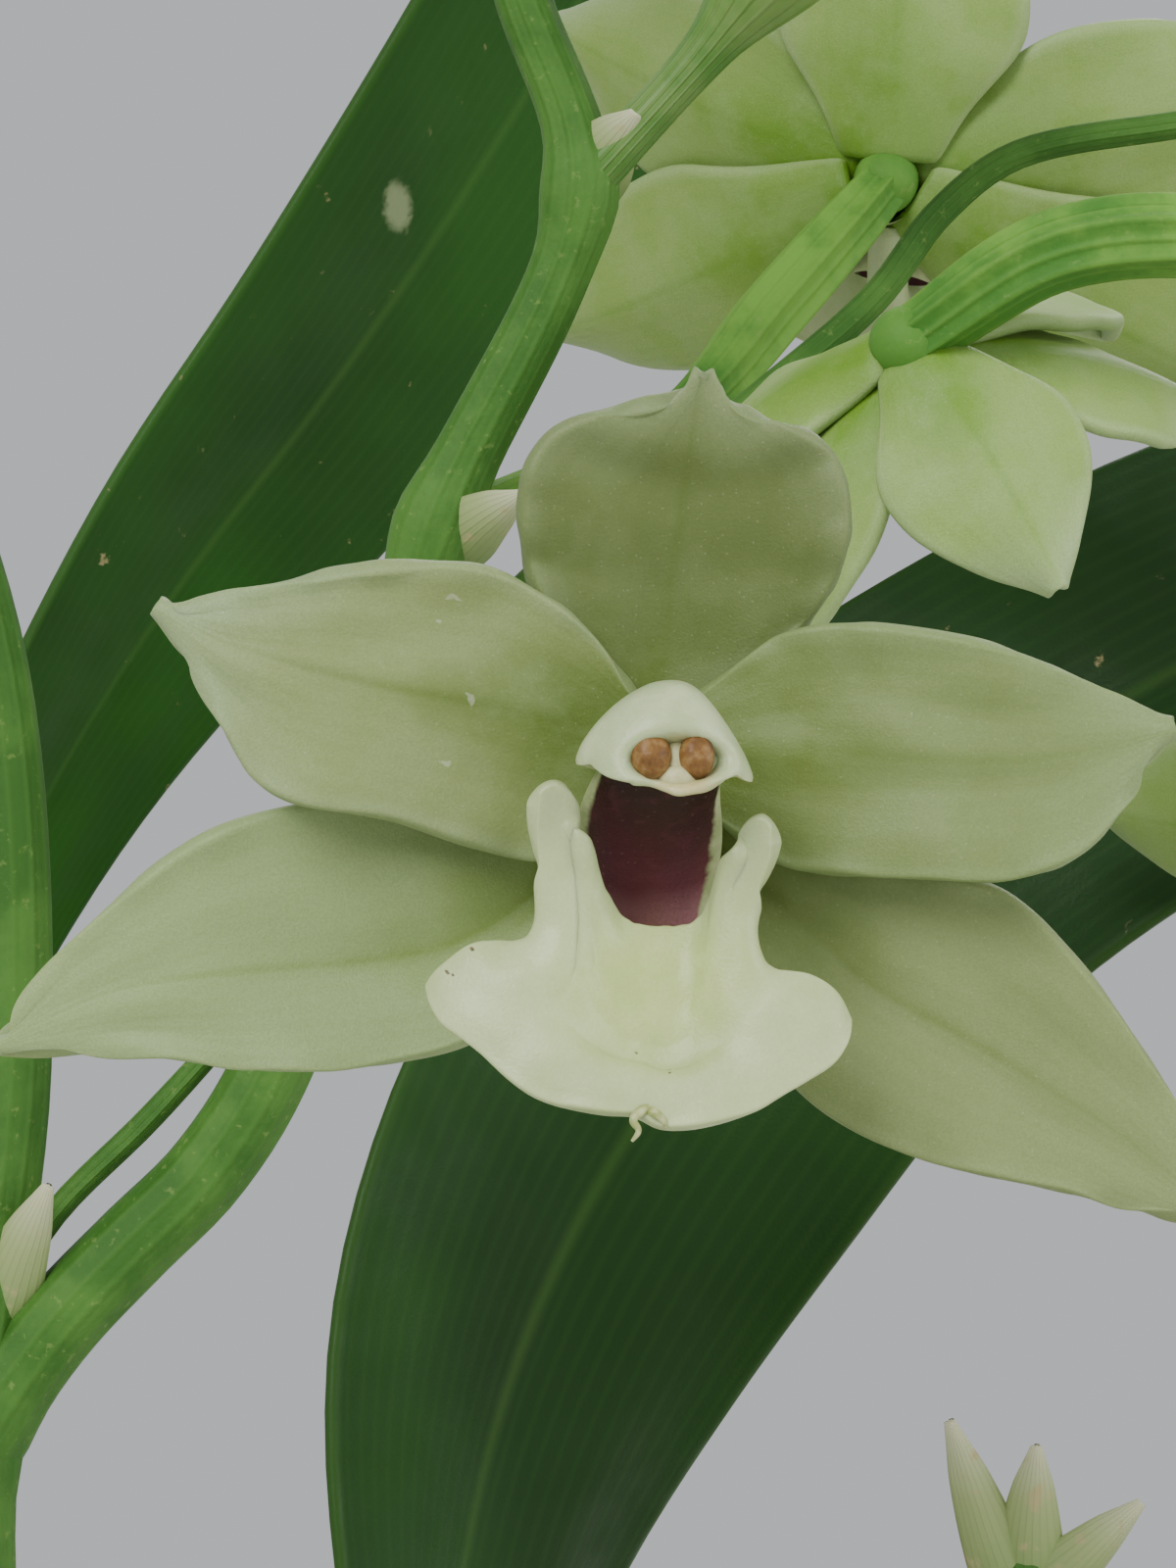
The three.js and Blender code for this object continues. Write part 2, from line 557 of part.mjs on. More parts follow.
// Near flower: every outline is in millimetres from its middle, as seen from the front
const near = new THREE.Group();
near.position.set(...NEAR_FLOWER);
plant.add(near);
const FRONTAL = [[0, 0, -1, 0], [1, 0, -1, 0]];

const NEAR_TEPALS = {
  dorsal: {
    spine: [
      [0.1, 0.5, 0.9], [0.2, 0.5, 3.6], [0.4, 0.2, 6.4], [0.7, -0.3, 8.9], [1, -1, 10.2], [1.2, -1.5, 10.9],
    ],
    widths: [
      [0, 1.5, 1.5], [0.14, 2.6, 2.8], [0.3, 3.5, 4.1], [0.48, 4.1, 4.75], [0.64, 4.2, 4.6],
      [0.78, 3.9, 4], [0.86, 3.2, 3.1], [0.92, 1.9, 1.9], [0.96, 0.7, 0.7], [1, 0.1, 0.1],
    ],
    cup: 0.9, keel: 0.25, wave: 0.12,
  },
  petal_left: {
    spine: [[-0.6, 0.1, 0.8], [-4.6, -1.1, 1.8], [-8.5, -1.9, 2.7], [-11.8, -1.8, 3.4], [-13.6, -1.3, 4.6]],
    widths: [
      [0, 1.3, 1.1], [0.14, 2.6, 2.2], [0.32, 4, 3.55], [0.48, 4.15, 3.35], [0.64, 3.9, 2.8],
      [0.78, 3.1, 2], [0.89, 1.8, 1.15], [0.96, 0.6, 0.45], [1, 0.1, 0.1],
    ],
    cup: 0.35, keel: -0.3, wave: 0.28,
  },
  petal_right: {
    spine: [[0.7, 0.1, 0.3], [5, -1.1, 0.65], [9.4, -1.9, 0.4], [12.4, -1.7, 0.6], [14, -1.2, 1.3]],
    widths: [
      [0, 1.1, 1.2], [0.14, 2.4, 2.3], [0.32, 3.5, 3.4], [0.5, 3.55, 3.5], [0.68, 2.95, 3.2],
      [0.82, 1.85, 2.3], [0.92, 0.95, 1], [0.97, 0.35, 0.35], [1, 0.1, 0.1],
    ],
    cup: 0.4, keel: -0.3, wave: 0.3,
  },
  sepal_left: {
    spine: [
      [-0.7, 1.1, -0.9], [-3.5, 0.9, -3.3], [-6.2, 0.4, -4.8], [-10, -0.1, -5.3], [-15.6, 0.2, -6.1],
      [-17.9, 0.6, -7.3],
    ],
    widths: [
      [0, 1.2, 1.2], [0.14, 2.2, 2.6], [0.3, 2.8, 3.8], [0.46, 2.95, 4.25], [0.62, 2.6, 4],
      [0.78, 1.85, 2.9], [0.9, 1.1, 1.4], [0.96, 0.5, 0.5], [1, 0.1, 0.1],
    ],
    cup: 0.3, keel: 0.55, wave: 0.2,
  },
  sepal_right: {
    spine: [[0.7, 1.1, -1], [4.2, 0.8, -4.3], [8.3, 0.1, -7], [12, 0, -9.3], [15.2, 0.5, -12]],
    widths: [
      [0, 1.2, 1.2], [0.14, 2.5, 2.3], [0.3, 3.7, 3.3], [0.46, 4.15, 3.8], [0.62, 3.5, 3.6],
      [0.78, 2.3, 2.4], [0.9, 1.1, 1.1], [0.96, 0.5, 0.5], [1, 0.1, 0.1],
    ],
    cup: 0.35, keel: 0.5, wave: 0.2,
  },
};

function nearTepal({ spine, widths, cup, keel, wave }) {
  const relief = (t, s, w) => {
    const middle = keel * Math.exp(-((s / 0.3) ** 2)) * Math.sin(Math.PI * Math.min(t * 1.3 + 0.1, 1));
    const ripple = wave * s * s * Math.sin(9 * t + 3 * Math.sign(s));
    return cup * s * s * (w / 4) - middle + ripple;
  };
  const columns = keel > 0 ? 8 : 6;
  return blade({ spine, face: FRONTAL, widths, relief, rows: 8, columns, thickness: TEPAL_THICKNESS });
}

const hub = (y = 0.8) => ball([0.2, y, 0], [HUB_RADIUS, HUB_RADIUS, HUB_RADIUS], 9, 6);
const nearTepals = joined([hub(), ...Object.values(NEAR_TEPALS).map(nearTepal)]);
place('near_flower_tepals', nearTepals, TEPAL, near);

// Column: rises forward from the hub over the lip, dark in front, with the cap on its end
const COLUMN_SPINE = [[-0.2, -1, -4], [-0.2, -2, -2.6], [-0.05, -3.6, -1], [0.15, -4.9, 0.3]];
const columnBody = grow => stalk(
  COLUMN_SPINE, [[0, 1.1 + grow], [0.3, 1.6 + grow], [0.6, 1.75 + grow], [1, 1.6 + grow]],
  { steps: 6, sides: 12, flat: (0.95 + grow) / (1.7 + grow) },
);
const CAP_MIDDLE = [0.3, -5.6, 0.95];
const capDome = grow => ball(CAP_MIDDLE, [2 + grow, 1.75 + grow, 1.6 + grow], 10, 7);

const POINT_RADII = [[0, 0.7], [0.6, 0.5], [1, 0.25]];
const capHorns = [[-2.15, 0.3], [2.4, -0.1]].map(([x, z]) => {
  const path = [[x * 0.45, -5.9, 0.9], [x * 0.8, -6.1, z + 0.35], [x, -6.2, z]];
  return stalk(path, POINT_RADII, { steps: 2, sides: 4 });
});
const BEAK_SPINE = [[0.45, -6.2, 0.5], [0.5, -6.7, -0.1], [0.53, -6.8, -0.55]];
const beak = stalk(BEAK_SPINE, [[0, 0.9], [0.6, 0.5], [1, 0.25]], { steps: 2, sides: 5 });
const POLLINIA_BALLS = [[[-0.16, -6.95, 0.56], 0.62], [[1.12, -6.85, 0.5], 0.5]];
const POLLINIA_BAR = [[-0.16, -6.75, 0.5], [0.5, -6.85, 0.35], [1.12, -6.75, 0.45]];
const BAR_RADIUS = 0.28;
const pollinarium = grow => joined([
  ...POLLINIA_BALLS.map(([at, radius]) => ball(at, [radius + grow, radius + grow, radius + grow], 8, 5)),
  stalk(POLLINIA_BAR, [[0, BAR_RADIUS + grow], [1, BAR_RADIUS + grow]], { steps: 2, sides: 4 }),
]);

const cap = joined([capDome(0), ...capHorns, beak]).subtract(pollinarium(0.08));
place('near_flower_cap', cap, CAP, near);
place('near_flower_pollinarium', pollinarium(0), POLLINIA, near);
const capRoom = joined([capDome(0.15), ...capHorns, beak]);
const HUB_ROOM = HUB_RADIUS + GAP;
const hubRoom = solid(ball([0.2, 0.8, 0], [HUB_ROOM, HUB_ROOM, HUB_ROOM], 9, 6));
const columnRoot = stalk([[-0.1, -2.9, -2], [0.1, -0.9, -0.6]], [[0, 1.2], [1, 1.3]], { steps: 2, sides: 8 });
const column = joined([columnBody(0), columnRoot]).subtract(capRoom).subtract(hubRoom);
place('near_flower_column', column, MAROON, near);

// Lip: one sheet from the horns' tips down to the midlobe's tip, its widths right then left as seen
const LIP_SPINE = [
  [-0.3, -4.5, 0], [-0.3, -3.9, -2], [-0.3, -3.5, -3.4], [-0.3, -3.5, -4.4], [-0.35, -4.1, -5],
  [-0.45, -5.2, -6], [-0.55, -6.1, -7.9], [-0.6, -6, -9.1], [-0.6, -5.7, -9.7],
];
const LIP_WIDTHS = [
  [0, 3.6, 3.4], [0.18, 3.6, 3.1], [0.3, 3.1, 2.8], [0.39, 2.9, 2.85], [0.44, 3, 3.5],
  [0.48, 3.4, 4.6], [0.54, 4.7, 5.5], [0.6, 5.5, 5.9], [0.7, 5.65, 5.3], [0.79, 5.2, 4.3],
  [0.87, 4.1, 3.4], [0.94, 2.9, 2.1], [1, 0.9, 0.35],
];
const lipRelief = (t, s) => {
  const horn = 0.5 * s * s * Math.max(0, 1 - 2.2 * t);
  const apron = 0.9 * s * s * Math.sin(Math.PI * THREE.MathUtils.clamp(2 * t - 0.9, 0, 1));
  return horn - apron;
};
const lipSheet = blade({
  spine: LIP_SPINE, face: FRONTAL, widths: LIP_WIDTHS, relief: lipRelief,
  rows: 13, columns: 8, thickness: TEPAL_THICKNESS,
});

// What is cut from the lip's top: the room round the column, with a tooth and a rounded horn on each side
const LIP_CUT = [
  [-5, 1.5], [-3.85, -1.2], [-3.5, -0.65], [-2.95, -0.2], [-2.5, -0.3], [-2.3, -0.9], [-2.35, -1.5],
  [-2.1, -1.6], [-1.9, -2.4], [-1.25, -3.7], [-0.45, -4.1], [0.88, -4.1], [1.4, -3.7], [1.76, -2.9],
  [2.02, -2.1], [2.25, -2], [2.35, -1.4], [2.65, -1.05], [3, -1.15], [3.35, -1.7], [3.6, -2.4], [5, 1.5],
];
const cutShape = new THREE.Shape(LIP_CUT.map(p => new THREE.Vector2(...p)));
const lipCut = new THREE.ExtrudeGeometry(cutShape, { depth: 12, bevelEnabled: false }).rotateX(Math.PI / 2);
const CLAW_SPINE = [[-0.2, -1.5, -5.3], [-0.2, -2.4, -5], [-0.3, -3.6, -4.9]];
const lipClaw = stalk(CLAW_SPINE, [[0, 0.8], [1, 0.8]], { steps: 2, sides: 6 });
const lip = solid(lipSheet).subtract(solid(lipCut)).add(solid(lipClaw)).subtract(solid(columnBody(0.3)));
place('near_flower_lip', lip, LIP, near);

// Other flowers: the same kind, with even tepals and fewer details
const TEPAL_WIDTHS = [[0, 0.2], [0.16, 0.55], [0.36, 0.98], [0.54, 1], [0.72, 0.8], [0.87, 0.42], [1, 0.06]];
const TEPAL_PLAN = [
  { angle: 90, length: 0.78, width: 4.1, layer: 0.3 },
  { angle: 168, length: 0.95, width: 3.5, layer: -0.4 },
  { angle: 12, length: 0.95, width: 3.5, layer: -0.4 },
  { angle: 214, length: 1.15, width: 3.6, layer: 0.5 },
  { angle: 326, length: 1.15, width: 3.6, layer: 0.5 },
];

function plainTepal({ angle, length, width, layer }, open, size) {
  const turn = THREE.MathUtils.degToRad(angle);
  const spread = THREE.MathUtils.degToRad(open);
  const spine = [0.06, 0.35, 0.65, 0.88, 1].map(q => {
    const lean = spread - 0.25 * q;
    const reach = q * length * TEPAL_LENGTH * size;
    const outward = reach * Math.sin(lean);
    return [outward * Math.cos(turn), layer - reach * Math.cos(lean), outward * Math.sin(turn)];
  });
  const inside = [-Math.cos(turn) * Math.cos(spread), -Math.sin(spread), -Math.sin(turn) * Math.cos(spread)];
  const face = [[0, ...inside], [1, ...inside]];
  const widths = TEPAL_WIDTHS.map(([t, part]) => [t, part * width * size, part * width * size]);
  const relief = (t, s) => 0.7 * s * s * size - 0.3 * Math.exp(-((s / 0.3) ** 2)) * Math.sin(Math.PI * t);
  return blade({ spine, face, widths, relief, rows: 4, columns: 4, thickness: TEPAL_THICKNESS });
}

const PLAIN_LIP_SPINE = [[0, -1.9, -2.9], [0, -4.3, -4.2], [0, -5.6, -6.3], [0, -5.4, -8.8]];
const PLAIN_LIP_WIDTHS = [[0, 1.1], [0.3, 4], [0.55, 5], [0.8, 3.2], [1, 0.5]];
const SIDE_LOBE_SPINE = [[1.6, -2.9, -3.6], [2.7, -3.5, -2.6], [2.8, -4.1, -0.6]];
const PLAIN_COLUMN_SPINE = [[0, -1.9, -2.1], [0, -3.4, -0.9], [0, -5, 0.2]];
const sized = (points, size) => points.map(point => point.map(value => value * size));

function plainLip(size) {
  const spine = sized(PLAIN_LIP_SPINE, size);
  const widths = PLAIN_LIP_WIDTHS.map(([t, width]) => [t, width * size, width * size]);
  const relief = (t, s) => -0.7 * s * s * size;
  const face = [[0, 0, -1, 0.4], [1, 0, -1, 0.4]];
  const middle = blade({ spine, face, widths, relief, rows: 4, columns: 4, thickness: TEPAL_THICKNESS });
  const sides = [-1, 1].map(side => {
    const path = sized(SIDE_LOBE_SPINE, size).map(([x, y, z]) => [side * x, y, z]);
    return stalk(path, [[0, 0.8], [0.6, 0.55], [1, 0.25]], { steps: 2, sides: 4 });
  });
  return joined([middle, ...sides]);
}

function plainColumn(size) {
  const spine = sized(PLAIN_COLUMN_SPINE, size);
  const body = stalk(spine, [[0, 1.3 * size], [1, 1.5 * size]], { steps: 2, sides: 6, flat: 0.6 });
  return joined([body, ball([0, -5.4 * size, 0.7 * size], [1.8 * size, 1.6 * size, 1.5 * size], 6, 5)]);
}

for (const { name, at, facing, up, open, size = 1, inner = size } of FLOWERS) {
  const flower = new THREE.Group();
  const forward = vector(facing).normalize();
  const right = vector(up).cross(forward).normalize();
  const above = forward.clone().cross(right);
  const turned = new THREE.Matrix4().makeBasis(right, forward.clone().negate(), above);
  flower.quaternion.setFromRotationMatrix(turned);
  flower.position.set(...at);
  plant.add(flower);
  const tepals = joined([
    ball([0, 0, 0], [HUB_RADIUS, HUB_RADIUS, HUB_RADIUS], 6, 4),
    ...TEPAL_PLAN.map(plan => plainTepal(plan, open, size)),
  ]);
  place(`${name}_tepals`, tepals, TEPAL, flower);
  const columnRoom = solid(ball([0, 0, 0], [HUB_RADIUS + GAP, HUB_RADIUS + GAP, HUB_RADIUS + GAP], 8, 6));
  place(`${name}_column`, plainColumn(inner).subtract(columnRoom), MAROON, flower);
  place(`${name}_lip`, plainLip(inner).subtract(columnRoom).subtract(tepals), LIP, flower);
}

export default plant;
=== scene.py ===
import bisect
import math
import random
import bmesh
import bpy
from mathutils import Matrix, Vector, noise
from mathutils.geometry import interpolate_bezier


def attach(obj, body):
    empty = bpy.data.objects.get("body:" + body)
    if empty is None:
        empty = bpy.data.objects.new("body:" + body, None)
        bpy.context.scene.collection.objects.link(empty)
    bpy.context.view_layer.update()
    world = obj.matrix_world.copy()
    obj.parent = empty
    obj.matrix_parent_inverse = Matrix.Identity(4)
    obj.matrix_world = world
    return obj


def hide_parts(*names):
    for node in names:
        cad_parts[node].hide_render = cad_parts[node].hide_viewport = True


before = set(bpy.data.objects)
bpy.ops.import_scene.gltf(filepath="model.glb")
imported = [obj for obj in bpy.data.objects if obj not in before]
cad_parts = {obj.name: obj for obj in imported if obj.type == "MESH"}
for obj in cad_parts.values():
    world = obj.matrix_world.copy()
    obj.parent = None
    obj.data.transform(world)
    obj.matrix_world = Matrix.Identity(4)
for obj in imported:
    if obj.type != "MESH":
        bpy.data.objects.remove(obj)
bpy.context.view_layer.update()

# Camera: level with the near flower and about 12 cm in front of it, as the photograph was taken.
# One pixel of the 1200 by 1600 picture is 0.0266 mm on the plane through that flower's middle.
MM = 0.001
CAMERA_DISTANCE = 124.3
MM_PER_PIXEL = 0.0266
PICTURE_MIDDLE = (14.085, 329.734)
NEAR_FLOWER = Vector((16, -38, 330))
camera_data = bpy.data.cameras.new("camera")
camera_data.lens = 105
camera_data.sensor_width = 36
camera_data.clip_start = 0.01
camera = bpy.data.objects.new("camera", camera_data)
camera.location = (PICTURE_MIDDLE[0] * MM, (NEAR_FLOWER.y - CAMERA_DISTANCE) * MM, PICTURE_MIDDLE[1] * MM)
camera.rotation_euler = (math.pi / 2, 0, 0)
bpy.context.scene.collection.objects.link(camera)
bpy.context.scene.camera = camera

# Pot: a plain thrown clay pot with a rolled rim and three drain holes, unglazed and lime stained.
# It stands on its flat foot and everything else stands in its bark.
POT_HEIGHT = 108
POT_FOOT_RADIUS = 41
POT_TOP_RADIUS = 56
POT_WALL = 5.5
POT_FLOOR = 8
RIM_HEIGHT = 22
RIM_OUT = 4


def tone(red, green, blue):
    """Colour as a screen shows it, 0 to 255, made linear for a shader"""
    return (*(((part / 255 + 0.055) / 1.055) ** 2.4 for part in (red, green, blue)), 1.0)


def add(tree, kind, inputs=None, **settings):
    """Node with its settings, each input joined to a socket or given a value"""
    made = tree.nodes.new("ShaderNode" + kind)
    for name, value in settings.items():
        setattr(made, name, value)
    for socket, value in (inputs or {}).items():
        if isinstance(value, bpy.types.NodeSocket):
            tree.links.new(value, made.inputs[socket])
        else:
            made.inputs[socket].default_value = value
    return made


def new_finish(name, roughness, specular):
    """Material with its node tree and its shader"""
    finish = bpy.data.materials.new(name)
    finish.use_nodes = True
    shader = finish.node_tree.nodes["Principled BSDF"]
    shader.inputs["Roughness"].default_value = roughness
    shader.inputs["Specular IOR Level"].default_value = specular
    return finish, finish.node_tree, shader


def vector_of(tree, operation, first, second=(0, 0, 0)):
    made = add(tree, "VectorMath", {0: first, 1: second}, operation=operation).outputs
    return made["Value" if operation in ("DISTANCE", "LENGTH") else "Vector"]


def part_of(tree, vector, axis):
    return add(tree, "SeparateXYZ", {0: vector}).outputs[axis]


def in_mm(tree):
    """Place on the object, in millimetres"""
    return vector_of(tree, "MULTIPLY", add(tree, "TexCoord").outputs["Object"], (1 / MM, 1 / MM, 1 / MM))


def map_of(tree):
    """Place on the piece's own map, 0 to 1 round it and 0 to 1 along it"""
    return add(tree, "UVMap").outputs["UV"]


def cloud(tree, place, scale, detail=3.0, roughness=0.5):
    inputs = {"Vector": place, "Scale": scale, "Detail": detail, "Roughness": roughness}
    return add(tree, "TexNoise", inputs).outputs["Fac"]


def fitted(tree, value, low, high, to_low=0.0, to_high=1.0):
    """Value run smoothly from one range to another"""
    inputs = {0: value, 1: low, 2: high, 3: to_low, 4: to_high}
    return add(tree, "MapRange", inputs, interpolation_type="SMOOTHSTEP").outputs[0]


def math_of(tree, operation, first, second=0.0):
    return add(tree, "Math", {0: first, 1: second}, operation=operation).outputs[0]


def times(tree, first, second):
    return math_of(tree, "MULTIPLY", first, second)


def mixed(tree, mask, first, second):
    """First colour, turned to the second where the mask is 1"""
    return add(tree, "Mix", {0: mask, 6: first, 7: second}, data_type="RGBA").outputs[2]


def painted(tree, shader, colour):
    tree.links.new(colour, shader.inputs["Base Color"])


def fleshy(shader, weight, reach_mm=0.6):
    """Lets light a little way into plant tissue"""
    shader.inputs["Subsurface Weight"].default_value = weight
    shader.inputs["Subsurface Scale"].default_value = reach_mm * MM


def ramp(tree, value, *stops):
    """Colours laid along a value, each stop a place and a colour"""
    made = add(tree, "ValToRGB", {"Fac": value})
    elements = made.color_ramp.elements
    elements[0].position, elements[0].color = stops[0]
    elements[1].position, elements[1].color = stops[-1]
    for position, colour in stops[1:-1]:
        elements.new(position).color = colour
    return made.outputs["Color"]


def raised(tree, shader, height, depth_mm, strength=1.0, under=None):
    """Small relief on the shader, its depth in millimetres"""
    inputs = {"Height": height, "Distance": depth_mm * MM, "Strength": strength}
    if under:
        inputs["Normal"] = under
    made = add(tree, "Bump", inputs).outputs["Normal"]
    tree.links.new(made, shader.inputs["Normal"])
    return made


def new_group(name, inputs, outputs):
    """Node group with named sockets, for an effect that several materials use"""
    group = bpy.data.node_groups.new(name, "ShaderNodeTree")
    for label, kind in inputs:
        group.interface.new_socket(label, in_out="INPUT", socket_type="NodeSocket" + kind)
    for label, kind in outputs:
        group.interface.new_socket(label, in_out="OUTPUT", socket_type="NodeSocket" + kind)
    return group, group.nodes.new("NodeGroupInput").outputs, group.nodes.new("NodeGroupOutput").inputs


def finished(name, bm, *finishes, smooth=True):
    """The shape, drawn in millimetres, as a named object in metres with its finishes on it"""
    bmesh.ops.scale(bm, vec=(MM, MM, MM), verts=bm.verts)
    for face in bm.faces:
        face.smooth = smooth
    mesh = bpy.data.meshes.new(name)
    bm.to_mesh(mesh)
    bm.free()
    for finish in finishes:
        mesh.materials.append(finish)
    piece = bpy.data.objects.new(name, mesh)
    bpy.context.scene.collection.objects.link(piece)
    return piece


def applied(piece):
    """Turn what the piece's modifiers make into its own mesh"""
    mesh = bpy.data.meshes.new_from_object(piece.evaluated_get(bpy.context.evaluated_depsgraph_get()))
    piece.modifiers.clear()
    piece.data = mesh


# Blotches: soft uneven patches, used wherever a surface isn't one even colour
blotches, given, result = new_group(
    "blotches", [("Place", "Vector"), ("Size", "Float"), ("Low", "Float"), ("High", "Float")],
    [("Mask", "Float")],
)
per_mm = math_of(blotches, "DIVIDE", 1.0, given["Size"])
patch = cloud(blotches, given["Place"], per_mm, 5.0, 0.6)
blotches.links.new(fitted(blotches, patch, given["Low"], given["High"]), result["Mask"])


def patches(tree, place, size, low=0.4, high=0.62):
    inputs = {"Place": place, "Size": size, "Low": low, "High": high}
    return add(tree, "Group", inputs, node_tree=blotches).outputs["Mask"]


def pot_radius_at(height):
    return POT_FOOT_RADIUS + (POT_TOP_RADIUS - POT_FOOT_RADIUS) * height / POT_HEIGHT


rim_foot = POT_HEIGHT - RIM_HEIGHT
rim_radius = POT_TOP_RADIUS + RIM_OUT
pot_profile = [
    (0, 1.2), (POT_FOOT_RADIUS - 9, 1.2), (POT_FOOT_RADIUS - 7.5, 0), (POT_FOOT_RADIUS - 1.2, 0),
    (POT_FOOT_RADIUS + 0.1, 1.4), (pot_radius_at(rim_foot), rim_foot), (rim_radius - 1.2, rim_foot + 0.8),
    (rim_radius, rim_foot + 2.6), (rim_radius - 0.5, rim_foot + 10), (rim_radius, POT_HEIGHT - 3),
    (rim_radius - 2.2, POT_HEIGHT), (pot_radius_at(POT_HEIGHT) - POT_WALL + 2, POT_HEIGHT),
    (pot_radius_at(POT_HEIGHT) - POT_WALL, POT_HEIGHT - 2), (pot_radius_at(12) - POT_WALL, 12),
    (pot_radius_at(POT_FLOOR) - POT_WALL - 3, POT_FLOOR), (0, POT_FLOOR),
]
bm = bmesh.new()
corners = [bm.verts.new((x, 0, z)) for x, z in pot_profile]
profile = [bm.edges.new(pair) for pair in zip(corners, corners[1:])]
bmesh.ops.spin(
    bm, geom=corners + profile, axis=(0, 0, 1), cent=(0, 0, 0), angle=2 * math.pi, steps=96, use_merge=True,
)
bmesh.ops.remove_doubles(bm, verts=bm.verts, dist=0.001)
bmesh.ops.recalc_face_normals(bm, faces=bm.faces)
sharp = [edge for edge in bm.edges if edge.calc_face_angle(0) > math.radians(16)]
bmesh.ops.bevel(
    bm, geom=sharp, offset=0.9, offset_type="OFFSET", affect="EDGES", segments=3, profile=0.5, material=-1,
)
for vert in bm.verts:
    wobble = 0.16 * noise.noise(Vector((vert.co.x / 30, vert.co.y / 30, vert.co.z / 9)))
    ridge = 0.09 * math.sin(vert.co.z * 1.9 + 0.6 * math.atan2(vert.co.y, vert.co.x))
    if vert.co.z > 2:
        vert.co.x *= 1 + (wobble + ridge) / POT_TOP_RADIUS
        vert.co.y *= 1 + (wobble + ridge) / POT_TOP_RADIUS

clay, tree, shader = new_finish("fired_clay", 0.88, 0.3)
place = in_mm(tree)
height = part_of(tree, place, "Z")
body_colour = mixed(tree, patches(tree, place, 22), tone(168, 92, 58), tone(187, 109, 71))
grains = mixed(tree, patches(tree, place, 0.7, 0.56, 0.66), body_colour, tone(120, 62, 40))
limed = patches(tree, place, 14, 0.5, 0.72)
near_foot = fitted(tree, height, 34, 4)
near_rim = fitted(tree, height, 78, 104, 0.0, 0.7)
lime_mask = times(tree, limed, math_of(tree, "MAXIMUM", near_foot, near_rim))
limed_colour = mixed(tree, lime_mask, grains, tone(205, 186, 164))
damp_mask = times(tree, patches(tree, place, 9, 0.42, 0.6), fitted(tree, height, 74, 20, 0.0, 0.5))
painted(tree, shader, mixed(tree, damp_mask, limed_colour, tone(122, 70, 47)))
turning = vector_of(tree, "MULTIPLY", place, (0.02, 0.02, 1.6))
throwing = raised(tree, shader, cloud(tree, turning, 1.0, 3.0), 0.35, 0.5)
raised(tree, shader, cloud(tree, place, 2.2, 6.0, 0.7), 0.25, 0.7, throwing)
tree.links.new(fitted(tree, limed, 0.0, 1.0, 0.8, 0.95), shader.inputs["Roughness"])

pot = finished("pot_clay", bm, clay)
for turn in (90, 210, 330):
    cutter_shape = bmesh.new()
    bmesh.ops.create_cone(cutter_shape, cap_ends=True, segments=32, radius1=4.6, radius2=4.4, depth=24)
    where = Vector((24 * math.cos(math.radians(turn)), 24 * math.sin(math.radians(turn)), 4))
    bmesh.ops.translate(cutter_shape, vec=where, verts=cutter_shape.verts)
    cutter = finished("drain_cutter", cutter_shape)
    hole = pot.modifiers.new("drain", "BOOLEAN")
    hole.operation = "DIFFERENCE"
    hole.object = cutter
    applied(pot)
    bpy.data.objects.remove(cutter)
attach(pot, "root")
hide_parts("pot")

# Potting mix: coarse pine bark chips filling the pot to a finger's width below its rim.
# They lie loose over each other round the bulbs, on a solid plug of the same colours.
MIX_FOOT = 11
MIX_DEPTH = 80
MIX_TOP = 93
CHIPS = 210
GOLDEN_ANGLE = 2.4
BULBS = [
    {"at": (18, -9), "lean": (1, -1), "scale": 1},
    {"at": (-6.5, 4.5), "lean": (-1, 1), "scale": 0.96},
    {"at": (-30, 18), "lean": (-2, 2), "scale": 0.84},
]
BULB_RADIUS = 11
SCAPE_FOOT = (2, -23)
chance = random.Random(11)
noise.seed_set(11)
mix_radius = pot_radius_at(MIX_TOP) - POT_WALL - 0.3
bm = bmesh.new()
foot_radius = pot_radius_at(MIX_FOOT) - POT_WALL - 0.4
bmesh.ops.create_cone(
    bm, cap_ends=True, segments=64, radius1=foot_radius, radius2=mix_radius, depth=MIX_DEPTH,
)
bmesh.ops.translate(bm, vec=(0, 0, MIX_FOOT + MIX_DEPTH / 2), verts=bm.verts)
loose_chip = bpy.data.meshes.new("loose_chip")
